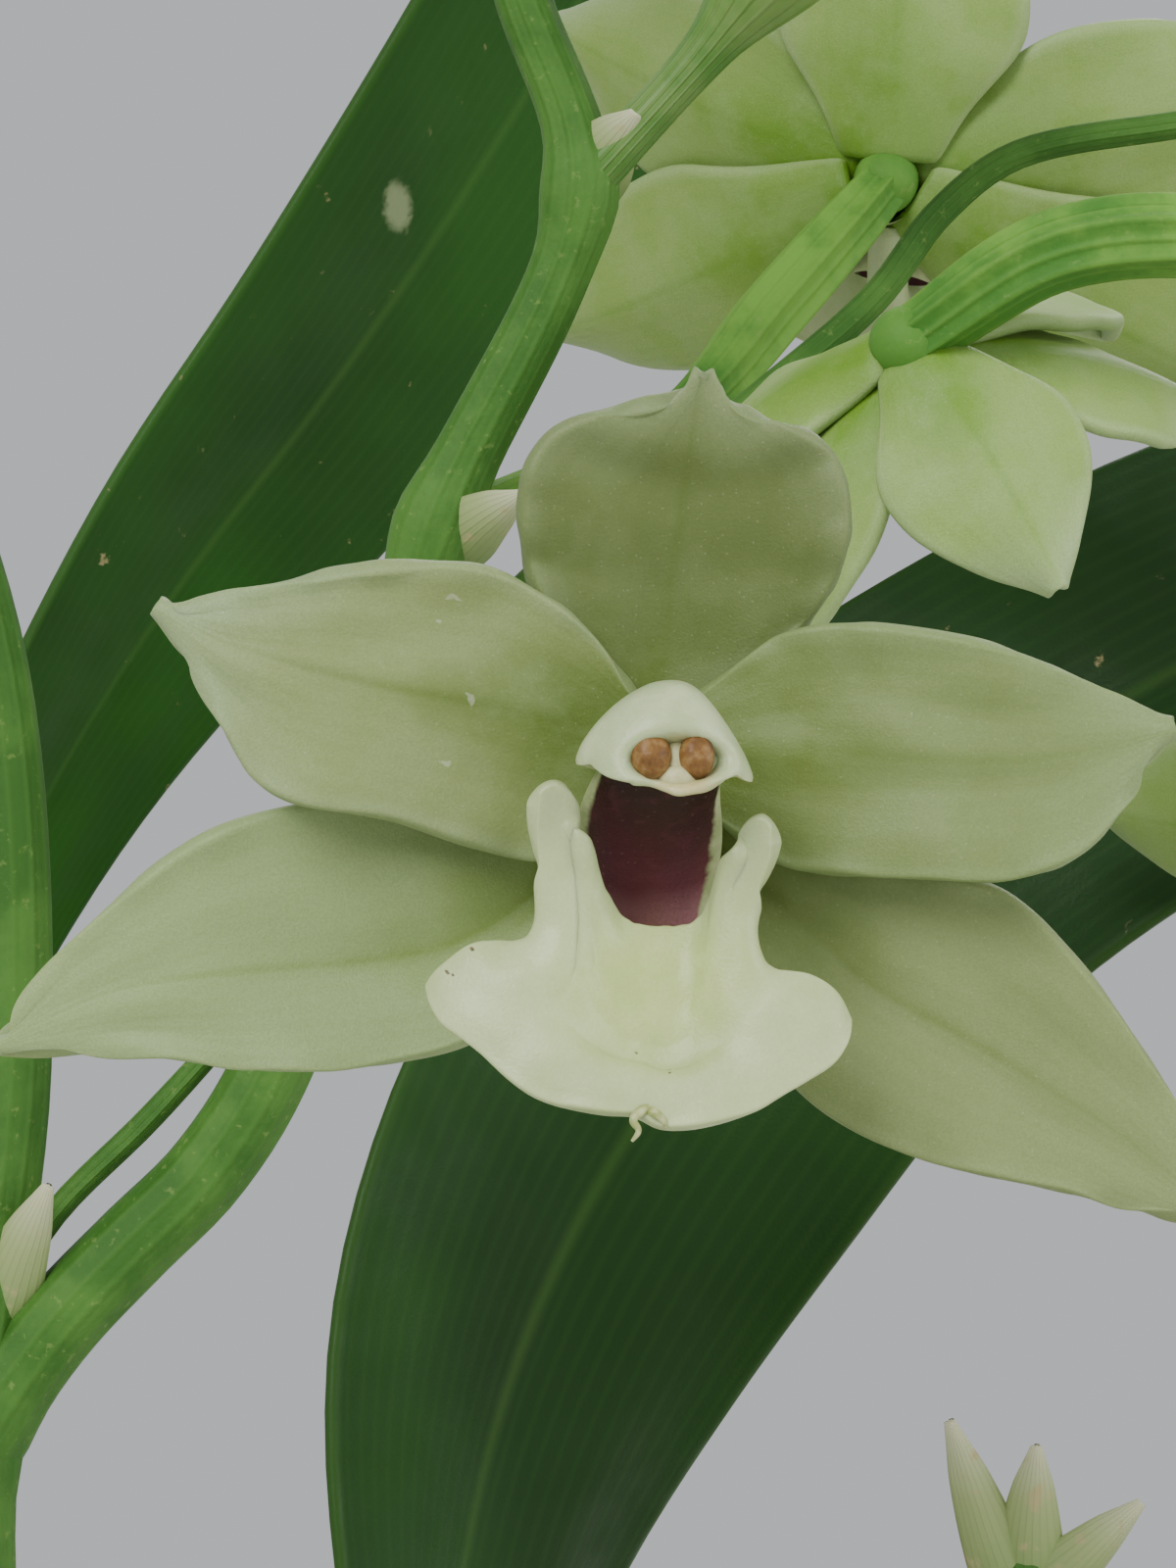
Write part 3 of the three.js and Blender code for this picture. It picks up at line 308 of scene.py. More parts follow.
for k in range(CHIPS):
    angle = k * GOLDEN_ANGLE
    reach = (mix_radius - 5.5) * math.sqrt((k + 0.5) / CHIPS)
    x, y = reach * math.cos(angle), reach * math.sin(angle)
    beside = min(math.hypot(x - bulb["at"][0], y - bulb["at"][1]) for bulb in BULBS)
    if beside < BULB_RADIUS + 2.5 or math.hypot(x - SCAPE_FOOT[0], y - SCAPE_FOOT[1]) < 4.5:
        continue
    size = (chance.uniform(7, 14), chance.uniform(5, 9), chance.uniform(1.8, 4))
    chip = bmesh.new()
    bmesh.ops.create_cube(chip, size=1)
    bmesh.ops.subdivide_edges(chip, edges=chip.edges, cuts=2, use_grid_fill=True)
    bmesh.ops.scale(chip, vec=size, verts=chip.verts)
    seed = Vector((k * 7.3, k * 3.1, k))
    for vert in chip.verts:
        corner = 1 - 0.16 * (abs(vert.co.x) / size[0] + abs(vert.co.y) / size[1]) ** 2
        vert.co = Vector((vert.co.x * corner, vert.co.y * corner, vert.co.z))
        vert.co += 0.8 * noise.noise_vector(vert.co / 4 + seed)
    tilt = Matrix.Rotation(chance.uniform(-0.35, 0.35), 3, "X")
    tilt = tilt @ Matrix.Rotation(chance.uniform(-0.35, 0.35), 3, "Y")
    turned = Matrix.Rotation(chance.uniform(0, 3.1), 3, "Z") @ tilt
    bmesh.ops.rotate(chip, cent=(0, 0, 0), matrix=turned, verts=chip.verts)
    layer = chance.uniform(-1.6, 2.2)
    bmesh.ops.translate(chip, vec=(x, y, MIX_TOP - 1 + layer), verts=chip.verts)
    chip.to_mesh(loose_chip)
    chip.free()
    bm.from_mesh(loose_chip)
bpy.data.meshes.remove(loose_chip)

bark, tree, shader = new_finish("pine_bark", 0.9, 0.25)
place = in_mm(tree)
stretched = vector_of(tree, "MULTIPLY", place, (0.35, 0.9, 2.6))
fibres = cloud(tree, stretched, 1.6, 6.0, 0.65)
brown = ramp(tree, fibres, (0.3, tone(44, 26, 16)), (0.5, tone(92, 58, 36)), (0.68, tone(138, 96, 62)))
reddish = mixed(tree, patches(tree, place, 8), brown, tone(112, 62, 36))
dusty = mixed(tree, patches(tree, place, 3, 0.6, 0.75), reddish, tone(150, 132, 108))
painted(tree, shader, dusty)
raised(tree, shader, fibres, 0.7, 0.9)
bark_mix = finished("bark_chips", bm, bark, smooth=False)
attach(bark_mix, "root")
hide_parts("bark_mix")

# Moss: small soft cushions that have grown on the damp bark, mostly near the rim.
# Each is a low lump pressed down between the chips.
CUSHIONS = 26
bm = bmesh.new()
for k in range(CUSHIONS):
    angle = chance.uniform(0, 2 * math.pi)
    reach = (mix_radius - 4) * math.sqrt(chance.uniform(0.25, 1))
    x, y = reach * math.cos(angle), reach * math.sin(angle)
    if min(math.hypot(x - bulb["at"][0], y - bulb["at"][1]) for bulb in BULBS) < BULB_RADIUS + 3:
        continue
    cushion = bmesh.ops.create_icosphere(bm, subdivisions=3, radius=1)["verts"]
    radius = chance.uniform(1.4, 3.6)
    bmesh.ops.scale(bm, vec=(radius, radius * chance.uniform(0.7, 1), radius * 0.55), verts=cushion)
    for vert in cushion:
        lump = 0.3 * noise.noise(vert.co * 1.3 + Vector((k, 0, 0)))
        vert.co *= 1 + lump + 0.16 * noise.noise(vert.co * 5)
    bmesh.ops.translate(bm, vec=(x, y, MIX_TOP + 1.6), verts=cushion)

moss, tree, shader = new_finish("moss", 0.95, 0.2)
place = in_mm(tree)
tufts = cloud(tree, place, 3.2, 5.0, 0.7)
green = ramp(tree, tufts, (0.3, tone(34, 48, 16)), (0.55, tone(88, 112, 38)), (0.75, tone(142, 160, 70)))
painted(tree, shader, mixed(tree, patches(tree, place, 2.5), green, tone(104, 110, 48)))
raised(tree, shader, tufts, 0.5, 1.0)
moss_cushions = finished("moss_cushions", bm, moss)
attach(moss_cushions, "root")

# Bulbs: three egg-shaped pseudobulbs in a row on the rootstock, green and softly ribbed.
# They stand a little sunk in the bark, the newest in front, and older ones are more wrinkled.
BULB_HEIGHT = 36
BULB_SUNK = 5
BULB_RADII = [(0, 0.62), (0.2, 0.95), (0.38, 1), (0.6, 0.86), (0.8, 0.56), (0.93, 0.34), (1, 0.24)]


CURVE_STEPS = 24


def course(points):
    """Smooth way through points, read by the share of its length from 0 to 1"""
    stops = [Vector(point) for point in points]
    stops = [2 * stops[0] - stops[1], *stops, 2 * stops[-1] - stops[-2]]
    run = []
    for before, start, end, after in zip(stops, stops[1:], stops[2:], stops[3:]):
        gaps = [math.sqrt((b - a).length) for a, b in ((before, start), (start, end), (end, after))]
        leave = (start - before) / gaps[0] - (end - before) / (gaps[0] + gaps[1]) + (end - start) / gaps[1]
        reach = (end - start) / gaps[1] - (after - start) / (gaps[1] + gaps[2]) + (after - end) / gaps[2]
        pull = gaps[1] / 3
        run += interpolate_bezier(start, start + leave * pull, end - reach * pull, end, CURVE_STEPS)[:-1]
    run.append(stops[-2])
    reaches = [0.0]
    for start, end in zip(run, run[1:]):
        reaches.append(reaches[-1] + (end - start).length)

    def at(share):
        reach = min(max(share, 0.0), 1.0) * reaches[-1]
        k = min(max(bisect.bisect_left(reaches, reach), 1), len(run) - 1)
        return run[k - 1].lerp(run[k], (reach - reaches[k - 1]) / (reaches[k] - reaches[k - 1]))

    return at


def along(stations, t, column=1):
    """Smooth value at t in a list of stations, each a place and its values"""
    last = len(stations) - 1
    k = 0
    while k < last - 1 and t > stations[k + 1][0]:
        k += 1

    def slope(i):
        before, after = stations[max(i - 1, 0)], stations[min(i + 1, last)]
        return (after[column] - before[column]) / (after[0] - before[0])

    start, end = stations[k], stations[k + 1]
    span = end[0] - start[0]
    q = min(max((t - start[0]) / span, 0.0), 1.0)
    keep = 2 * q**3 - 3 * q**2 + 1
    bend = (q**3 - 2 * q**2 + q) * slope(k) + (q**3 - q**2) * slope(k + 1)
    return keep * start[column] + (1 - keep) * end[column] + span * bend


def mapped_grid(bm, columns, rows):
    """Flat grid from -1 to 1 with its own map, returned as its points"""
    verts = bmesh.ops.create_grid(bm, x_segments=columns, y_segments=rows, size=1.0)["verts"]
    uv = bm.loops.layers.uv.verify()
    for face in {face for vert in verts for face in vert.link_faces}:
        for loop in face.loops:
            loop[uv].uv = ((loop.vert.co.x + 1) / 2, (loop.vert.co.y + 1) / 2)
    return verts


def frames_along(way, steps, first):
    """Point and two sideways directions at each step, turning no more than the way does"""
    frames = []
    sideways = first
    for i in range(steps + 1):
        ahead = (way((i + 0.5) / steps) - way((i - 0.5) / steps)).normalized()
        sideways = (sideways - ahead * sideways.dot(ahead)).normalized()
        frames.append((way(i / steps), sideways, ahead.cross(sideways)))
    return frames


def tube(bm, points, radius_at, steps, sides, squeeze=1.0, first=Vector((0.3, 1, 0.1))):
    """Closed stalk along points, radius_at(share, angle), its map running round and along it"""
    frames = frames_along(course(points), steps, first)
    verts = mapped_grid(bm, sides, steps)
    ends = ([], [])
    for vert in verts:
        share = (vert.co.y + 1) / 2
        angle = math.pi * vert.co.x
        middle, across, beyond = frames[round(share * steps)]
        if share in (0.0, 1.0):
            ends[int(share)].append(vert)
        radius = radius_at(share, angle)
        vert.co = middle + across * radius * math.cos(angle) + beyond * radius * squeeze * math.sin(angle)
    for end in ends:
        edges = {edge for vert in end for edge in vert.link_edges}
        rim = [edge for edge in edges if all(vert in end for vert in edge.verts)]
        bmesh.ops.remove_doubles(bm, verts=end, dist=1e-4)
        rim = [edge for edge in rim if edge.is_valid]
        bmesh.ops.holes_fill(bm, edges=rim, sides=0)
    verts = [vert for vert in verts if vert.is_valid]
    bmesh.ops.remove_doubles(bm, verts=verts, dist=1e-4)
    return [vert for vert in verts if vert.is_valid]


def softened(piece):
    modifier = piece.modifiers.new("smooth", "SUBSURF")
    modifier.levels = 1
    modifier.render_levels = 1


def thickened(piece, thickness_mm):
    """Gives a sheet its thickness, half to each side"""
    modifier = piece.modifiers.new("thickness", "SOLIDIFY")
    modifier.thickness = thickness_mm * MM
    modifier.offset = 0


def bulb_top(bulb):
    x, y = bulb["at"][0] + bulb["lean"][0], bulb["at"][1] + bulb["lean"][1]
    return x, y, MIX_TOP - BULB_SUNK + BULB_HEIGHT * bulb["scale"]


bulb_skin, tree, shader = new_finish("bulb_skin", 0.42, 0.5)
place = in_mm(tree)
map_place = map_of(tree)
around = vector_of(tree, "MULTIPLY", map_place, (150, 6, 0))
streaks = cloud(tree, around, 1.0, 4.0, 0.6)
skin = ramp(tree, streaks, (0.32, tone(62, 84, 34)), (0.5, tone(96, 120, 52)), (0.68, tone(134, 148, 76)))
height = part_of(tree, place, "Z")
skin = mixed(tree, fitted(tree, height, 104, 90), skin, tone(150, 148, 92))
skin = mixed(tree, patches(tree, place, 1.6, 0.62, 0.7), skin, tone(104, 84, 46))
painted(tree, shader, skin)
wrinkles = raised(tree, shader, streaks, 0.35, 0.6)
raised(tree, shader, cloud(tree, place, 4.0, 3.0), 0.06, 0.5, wrinkles)
for k, bulb in enumerate(BULBS):
    x, y = bulb["at"]
    points = [(x, y, MIX_TOP - BULB_SUNK), (x, y, MIX_TOP + 3), bulb_top(bulb)]
    age = 0.6 + 0.5 * k

    def swell(share, angle):
        rib = 0.035 * math.cos(6 * angle) + 0.012 * age * math.sin(17 * angle + 5 * share)
        ring = 0.02 * math.exp(-(((share - 0.9) / 0.02) ** 2))
        relief = 1 + rib * math.sin(math.pi * share) + ring
        return along(BULB_RADII, share) * BULB_RADIUS * bulb["scale"] * relief

    bm = bmesh.new()
    tube(bm, points, swell, 34, 72)
    piece = finished(f"bulb_{k + 1}_skin", bm, bulb_skin)
    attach(piece, "root")
    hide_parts(f"bulb_{k + 1}")

# Roots: thick pale roots that leave the rootstock below the bulbs and arch into the bark.
# They are covered in a spongy off-white skin.
ROOTS = 11
bm = bmesh.new()
for k in range(ROOTS):
    bulb = BULBS[k % len(BULBS)]
    turn = k * 2.1 + 0.4
    ahead = Vector((math.cos(turn), math.sin(turn), 0))
    foot = Vector((*bulb["at"], MIX_TOP - 1)) + ahead * (BULB_RADIUS * bulb["scale"] - 1.5)
    length = chance.uniform(7, 13)
    crest = foot + ahead * length * 0.35 + Vector((0, 0, 4.6))
    tip = foot + ahead * length + Vector((0, 0, -4))
    if math.hypot(tip.x, tip.y) > mix_radius - 3:
        continue
    tube(bm, [foot, crest, tip], lambda share, angle: 1.15 - 0.25 * share, 14, 12)

root_skin, tree, shader = new_finish("root_skin", 0.8, 0.3)
place = in_mm(tree)
pale = mixed(tree, patches(tree, place, 3), tone(196, 190, 164), tone(146, 142, 108))
painted(tree, shader, mixed(tree, patches(tree, place, 1.2, 0.6, 0.7), pale, tone(110, 84, 56)))
raised(tree, shader, cloud(tree, place, 3.0, 4.0), 0.2, 0.7)
roots = finished("surface_roots", bm, root_skin)
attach(roots, "root")

# Sheaths: dry papery leaf bases that wrap each bulb's foot and split as the bulb swells.
# They are thin, fibrous and straw coloured, darker where they sit in the damp bark.
SHEATH_TURNS = (-1.2, 2.6, 1.9)
sheath_paper, tree, shader = new_finish("dry_sheath", 0.75, 0.3)
map_place = map_of(tree)
place = in_mm(tree)
running = vector_of(tree, "MULTIPLY", map_place, (130, 4, 0))
fibres = cloud(tree, running, 1.0, 5.0, 0.7)
straw = ramp(tree, fibres, (0.3, tone(92, 66, 38)), (0.5, tone(156, 126, 80)), (0.7, tone(206, 182, 132)))
along_sheath = part_of(tree, map_place, "Y")
straw = mixed(tree, fitted(tree, along_sheath, 0.35, 0.0), straw, tone(74, 54, 34))
straw = mixed(tree, patches(tree, place, 2.2, 0.58, 0.72), straw, tone(70, 48, 32))
painted(tree, shader, straw)
raised(tree, shader, fibres, 0.3, 0.8)
for k, bulb in enumerate(BULBS):
    x, y = bulb["at"]
    top = bulb_top(bulb)
    foot = MIX_TOP - BULB_SUNK + 1.5
    bm = bmesh.new()
    for vert in mapped_grid(bm, 72, 18):
        share, s = (vert.co.y + 1) / 2, vert.co.x
        angle = SHEATH_TURNS[k] + 2.7 * s
        ragged = 0.05 * noise.noise(Vector((30 * s, 7 * k, 0))) + 0.04 * noise.noise(Vector((95 * s, k, 5)))
        edge = 0.55 + 0.45 * abs(math.cos(2.7 * s)) ** 3 + ragged
        level = foot + (top[2] - foot) * 0.62 * share * edge
        part = (level - foot + 1.5) / (top[2] - foot + 1.5)
        radius = along(BULB_RADII, part) * BULB_RADIUS * bulb["scale"] * 1.07
        radius += 0.75 + 1.3 * share + 0.5 * s * s
        radius += 0.22 * share * math.sin(21 * s + 4 * share)
        radius += 0.3 * noise.noise(Vector((9 * s, 3 * share, k)))
        middle = Vector((x, y, 0)).lerp(Vector((top[0], top[1], 0)), part)
        vert.co = middle + Vector((radius * math.cos(angle), radius * math.sin(angle), level))
    piece = finished(f"sheath_{k + 1}_paper", bm, sheath_paper)
    thickened(piece, 0.45)
    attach(piece, "root")
    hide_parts(f"sheath_{k + 1}")

# Leaves: long pleated blades on narrow folded stalks that rise from the bulbs' tops and arch over.
# They are thin, leathery and dark green, with a pale ridge along each pleat and fine veins between.
LEAF_WIDTH = 24
LEAF_THICKNESS = 0.62
LEAF_SUNK = 2
PLEAT_DEPTH = 1.1
LEAF_WIDTHS = [
    (0, 0.1), (0.12, 0.13), (0.28, 0.36), (0.45, 0.82), (0.6, 1), (0.75, 0.86), (0.88, 0.48), (0.96, 0.18),
    (1, 0.03),
]
LEAVES = [
    {
        "name": "leaf_upper_left", "width": 0.9, "pleats": 4,
        "parts": [
            (0, 0.1), (0.12, 0.13), (0.4, 0.14), (0.58, 0.2), (0.68, 0.38), (0.75, 0.64), (0.82, 0.78),
            (0.89, 0.74), (0.95, 0.46), (0.985, 0.18), (1, 0.03),
        ],
        "spine": [
            (-31.2, 19.6, 116.2), (-30.3, 19, 119.2), (-33, 20, 155), (-35, 25, 200), (-33, 33, 250),
            (-25.5, 38, 295), (-15, 38.5, 319), (-8.9, 38, 331), (-3.7, 37.5, 338.9),
            (2.5, 37.5, 346.9), (11, 37, 359.6), (20, 36, 376), (30, 33, 394), (38, 28, 410),
        ],
        "face": [(0, 0.2, -1, 0.1), (0.6, 0.55, -0.83, 0.1), (0.75, 0.75, -0.66, 0.1), (1, 0.8, -0.6, 0.1)],
    },
    {
        "name": "leaf_behind", "width": 0.98, "pleats": 4,
        "parts": [
            (0, 0.1), (0.12, 0.13), (0.28, 0.36), (0.45, 0.76), (0.58, 0.8), (0.66, 0.86), (0.72, 0.84),
            (0.84, 0.8), (0.9, 0.6), (0.96, 0.26), (1, 0.03),
        ],
        "spine": [
            (18.4, -9, 121.8), (18, -8.4, 124.9), (12, 12, 190), (7.5, 22, 250), (8.6, 23, 298),
            (14, 23, 313), (22.5, 23, 323.5), (34, 22, 332), (48, 21, 338.2), (66, 18, 337),
            (88, 12, 322),
        ],
        "face": [
            (0, 0.9, -0.45, 0), (0.6, 0.88, -0.47, 0), (0.67, 0.55, -0.85, 0.2), (0.74, 0.15, -0.8, 0.5),
            (0.84, 0.1, -0.8, 0.6), (1, 0.1, -0.8, 0.9),
        ],
    },
]
ARCHED = [
    ("leaf_left", 2, 206, 128, 118, 0.95), ("leaf_back_left", 2, 102, 118, 146, 1),
    ("leaf_front_left", 1, 228, 122, 84, 0.88), ("leaf_back", 1, 70, 132, 128, 1),
    ("leaf_right", 0, 10, 128, 96, 0.95), ("leaf_front_right", 0, 288, 96, 62, 0.8),
]
for name, bulb, heading, reach, rise, width in ARCHED:
    x, y, z = bulb_top(BULBS[bulb])
    out = Vector((math.cos(math.radians(heading)), math.sin(math.radians(heading)), 0))
    spine = [Vector((x, y, z - LEAF_SUNK))]
    for q in (0, 0.22, 0.45, 0.68, 0.86, 1):
        level = rise * math.sin(q * 2.25) + 0.8
        spine.append(Vector((x, y, z)) + out * (2 + reach * q**1.7) + Vector((0, 0, level)))
    face = [(0, -out.x, -out.y, 0.35), (0.55, 0, 0, 1), (1, 0.7 * out.x, 0.7 * out.y, 0.8)]
    LEAVES.append({"name": name, "width": width, "pleats": 6, "spine": spine, "face": face})


TIP_CROWDING = 1.4


def blade(bm, spine, face, widths, relief, rows, columns):
    """Leaf or tepal along a spine: face is the way it looks and widths its two halves, from foot to tip"""
    way = course(spine)
    stations = {}
    verts = mapped_grid(bm, columns, rows)
    for vert in verts:
        step, s = round((vert.co.y + 1) / 2, 6), vert.co.x
        t = 1 - (1 - step) ** TIP_CROWDING
        if step not in stations:
            ahead = (way(min(t + 0.012, 1)) - way(max(t - 0.012, 0))).normalized()
            facing = Vector(along(face, t, column) for column in (1, 2, 3))
            facing = (facing - ahead * facing.dot(ahead)).normalized()
            stations[step] = (way(t), facing, ahead.cross(facing))
        middle, facing, sideways = stations[step]
        width = max(along(widths, t, 1 if s < 0 else 2), 0.04)
        vert.co = middle + sideways * s * width + facing * relief(t, s, width)
    return verts


# Veins: fine lines that run from foot to tip, used on leaves, tepals, lips and bracts
long_veins, given, result = new_group(
    "long_veins", [("Map", "Vector"), ("Count", "Float"), ("Wander", "Float"), ("Width", "Float")],
    [("Line", "Float")],
)
split = add(long_veins, "SeparateXYZ", {0: given["Map"]})
slow = vector_of(long_veins, "MULTIPLY", given["Map"], (3, 4, 0))
drift = math_of(long_veins, "SUBTRACT", cloud(long_veins, slow, 1.0, 2.0), 0.5)
drift = times(long_veins, drift, given["Wander"])
across = times(long_veins, math_of(long_veins, "ADD", split.outputs["X"], drift), given["Count"])
folded = math_of(long_veins, "PINGPONG", across, 0.5)
long_veins.links.new(fitted(long_veins, folded, given["Width"], 0.0), result["Line"])


def veins(tree, map_place, count, wander, width):
    inputs = {"Map": map_place, "Count": count, "Wander": wander, "Width": width}
    return add(tree, "Group", inputs, node_tree=long_veins).outputs["Line"]


def marks_at(tree, place, marks):
    """Mask of small ragged marks, each given by its middle in millimetres and its size"""
    ragged = add(tree, "TexNoise", {"Vector": place, "Scale": 2.5}).outputs["Color"]
    stray = vector_of(tree, "SUBTRACT", ragged, (0.5, 0.5, 0.5))
    stray = vector_of(tree, "MULTIPLY", stray, (0.5, 0.5, 0.5))
    mask = 0.0
    for middle, size in marks:
        reach = vector_of(tree, "SUBTRACT", place, middle)
        shaped = vector_of(tree, "ADD", reach, stray)
        level = vector_of(tree, "DIVIDE", shaped, size)
        length = vector_of(tree, "LENGTH", level)
        mask = math_of(tree, "MAXIMUM", mask, fitted(tree, length, 1.15, 0.75))
    return mask


def leaf_finish(name, pleats, light, scars=()):
    """Leaf skin: pleat ridges and veins drawn on the leaf's own map; light scales its greens, which carry
    painted shade
    """
    finish, tree, shader = new_finish(name, 0.5, 0.22)
    map_place = map_of(tree)
    place = in_mm(tree)
    grown = part_of(tree, map_place, "Y")
    # Painted shade: the leaf's dark green made darker still and scaled by light, so a leaf painted as in
    # shade comes out darker
    dark, bright = (tone(*(part * light for part in green)) for green in ((20, 54, 10), (30, 72, 16)))
    deep = mixed(tree, fitted(tree, cloud(tree, place, 0.06), 0.3, 0.7), dark, bright)
    young = mixed(tree, fitted(tree, grown, 0.34, 0.02), deep, tone(88, 112, 42))
    fine = veins(tree, map_place, 24.0, 0.01, 0.3)
    lined = mixed(tree, times(tree, fine, 0.05), young, tone(74, 116, 44))
    ridge = veins(tree, map_place, pleats / 2.0, 0.0, 0.06)
    lined = mixed(tree, times(tree, ridge, 0.14), lined, tone(92, 132, 56))
    dots = patches(tree, place, 1.1, 0.66, 0.74)
    scarred = mixed(tree, times(tree, dots, patches(tree, place, 30, 0.55, 0.6)), lined,
                    tone(150, 140, 96))
    if scars:
        scarred = mixed(tree, times(tree, marks_at(tree, place, scars), 0.75), scarred,
                        tone(146, 158, 116))
    painted(tree, shader, scarred)
    tree.links.new(fitted(tree, cloud(tree, place, 0.4), 0.3, 0.7, 0.42, 0.58), shader.inputs["Roughness"])
    fleshy(shader, 0.08)
    under = raised(tree, shader, fine, 0.012, 0.4)
    raised(tree, shader, cloud(tree, place, 6.0, 2.0), 0.04, 0.4, under)
    return finish


# Painted shade: the leaf behind the flowers gets the lowest light, 1.0, and the others are painted as more
# lit
leaf_skin = leaf_finish("leaf_skin", 6, 1.12)
LEAF_SKINS = {
    "leaf_upper_left": leaf_finish("leaf_skin_scarred", 4, 1.15, [((5.8, 37, 354.8), (0.75, 4, 1.3))]),
    "leaf_behind": leaf_finish("leaf_skin_broad", 4, 1.0),
}
for leaf in LEAVES:
    half = LEAF_WIDTH / 2 * leaf["width"]
    pleats = leaf["pleats"]

    def leaf_relief(t, s, width):
        channel = 0.5 * width * math.sqrt(s * s + 0.01) * (1 - t) ** 2
        depth = PLEAT_DEPTH * math.sin(math.pi * t) * width / half
        fold = math.acos(0.92 * math.cos(pleats / 2 * math.pi * s)) / math.pi
        roll = 0.12 * width * math.sin(7 * t + 1) * s
        flutter = 0.35 * s * s * noise.noise(Vector((5 * t, 2 * s, half))) * width / 6
        return channel + depth * fold + roll + 0.12 * width * s * s + flutter

    bm = bmesh.new()
    widths = [(t, part * half, part * half) for t, part in leaf.get("parts", LEAF_WIDTHS)]
    blade(bm, leaf["spine"], leaf["face"], widths, leaf_relief, 84, 32)
    piece = finished(f"{leaf['name']}_blade", bm, LEAF_SKINS.get(leaf["name"], leaf_skin))
    thickened(piece, LEAF_THICKNESS)
    if leaf["name"] in LEAF_SKINS:
        softened(piece)
    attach(piece, "root")
    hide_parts(leaf["name"])

# Flower stem: one zigzag stem from the newest bulb's foot, with two branches, a twig and two short shoots.
# It is green and round, a little swollen at each joint, and thins toward the buds.
SCAPE = [
    (*SCAPE_FOOT, MIX_TOP - 8), (1, -22, 150), (-2, -20, 220), (-4.9, -17.5, 290), (-5.6, -16.6, 309.5),
    (-4.4, -16.2, 321), (-5, -16, 333), (-7.5, -15.6, 341), (-12, -15.4, 350), (-9, -15, 370),
    (-14, -15, 390), (-10, -15, 408),
]
BRANCH = [
    (-5.5, -16.6, 309), (-2.8, -16.5, 312.6), (-0.5, -16.3, 315), (1.9, -16.2, 317.4), (4, -16, 320.8),
    (7.3, -16, 331), (9.2, -16, 338), (13.8, -16, 348.7), (11.8, -16, 355.5), (10, -15.5, 364),
]
FAR_BRANCH = [
    (-2.5, -19.6, 232), (6, -15, 254), (20, -9, 282), (32.5, -6, 295.5), (39, -4, 309), (43.5, -6, 326),
    (44.5, -8, 341), (41.5, -8, 353), (43, -8, 366),
]
TWIG = [
    (7.3, -16, 331), (13, -12.5, 337), (20, -9.5, 342.8), (23.8, -8, 346.2), (26, -7.5, 349.1),
    (28.5, -7.5, 351), (34, -8, 352), (40, -8, 352.8),
]
STUB = [(-4.6, -16.3, 313.5), (-2.9, -16.2, 316.1), (0, -16, 319), (3.2, -15.8, 322.5)]
SIDE_SHOOT = [(26.3, -7.4, 288.8), (28.3, -6.4, 297), (29.2, -6, 303.6)]
JOINTS = [
    (0.6, -22, 160), (-2.5, -19.6, 232), (-5.5, -16.6, 309), (9.2, -16, 338), (13.8, -16, 348.7),
    (39, -4, 309), (44.5, -8, 341), (-12, -15.4, 350), (-9, -15, 370), (-14, -15, 390), (28.9, -6.2, 302),
]
STEM_RADII = (
    (SCAPE, [(0, 2.1), (0.6, 1.6), (0.8, 1.15), (1, 0.8)], 260),
    (BRANCH, [(0, 1.4), (0.25, 1.3), (1, 0.8)], 90),
    (FAR_BRANCH, [(0, 1.35), (0.5, 1.15), (1, 0.75)], 150),
    (TWIG, [(0, 0.6), (1, 0.45)], 70),
    (STUB, [(0, 0.4), (0.9, 0.36), (1, 0.1)], 16),
    (SIDE_SHOOT, [(0, 0.9), (0.85, 0.8), (1, 0.3)], 20),
)


def stem_finish(name, deep, light):
    """Skin of a stem or stalk: two greens, faint long lines and small pale specks"""
    finish, tree, shader = new_finish(name, 0.62, 0.22)
    place = in_mm(tree)
    map_place = map_of(tree)
    lined = veins(tree, map_place, 12.0, 0.03, 0.3)
    skin = mixed(tree, patches(tree, place, 5), deep, light)
    skin = mixed(tree, times(tree, lined, 0.3), skin, light)
    speckled = mixed(tree, patches(tree, place, 0.35, 0.6, 0.7), skin, tone(124, 152, 78))
    painted(tree, shader, mixed(tree, 0.4, skin, speckled))
    fleshy(shader, 0.1)
    under = raised(tree, shader, lined, 0.08, 0.5)
    raised(tree, shader, cloud(tree, place, 5.0, 3.0), 0.05, 0.5, under)
    return finish


stem_skin = stem_finish("stem_skin", tone(54, 98, 32), tone(76, 120, 46))
bm = bmesh.new()
for points, radii, steps in STEM_RADII:
    way = course(points)

    def stem_radius(share, angle):
        here = way(share)
        joint = min((here - Vector(point)).length for point in JOINTS)
        return along(radii, share) + 0.32 * math.exp(-((joint / 1.5) ** 2)) + 0.03 * math.cos(5 * angle)

    tube(bm, points, stem_radius, steps, 28)
stems = finished("flower_stems", bm, stem_skin)
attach(stems, "root")
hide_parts("flower_stem")

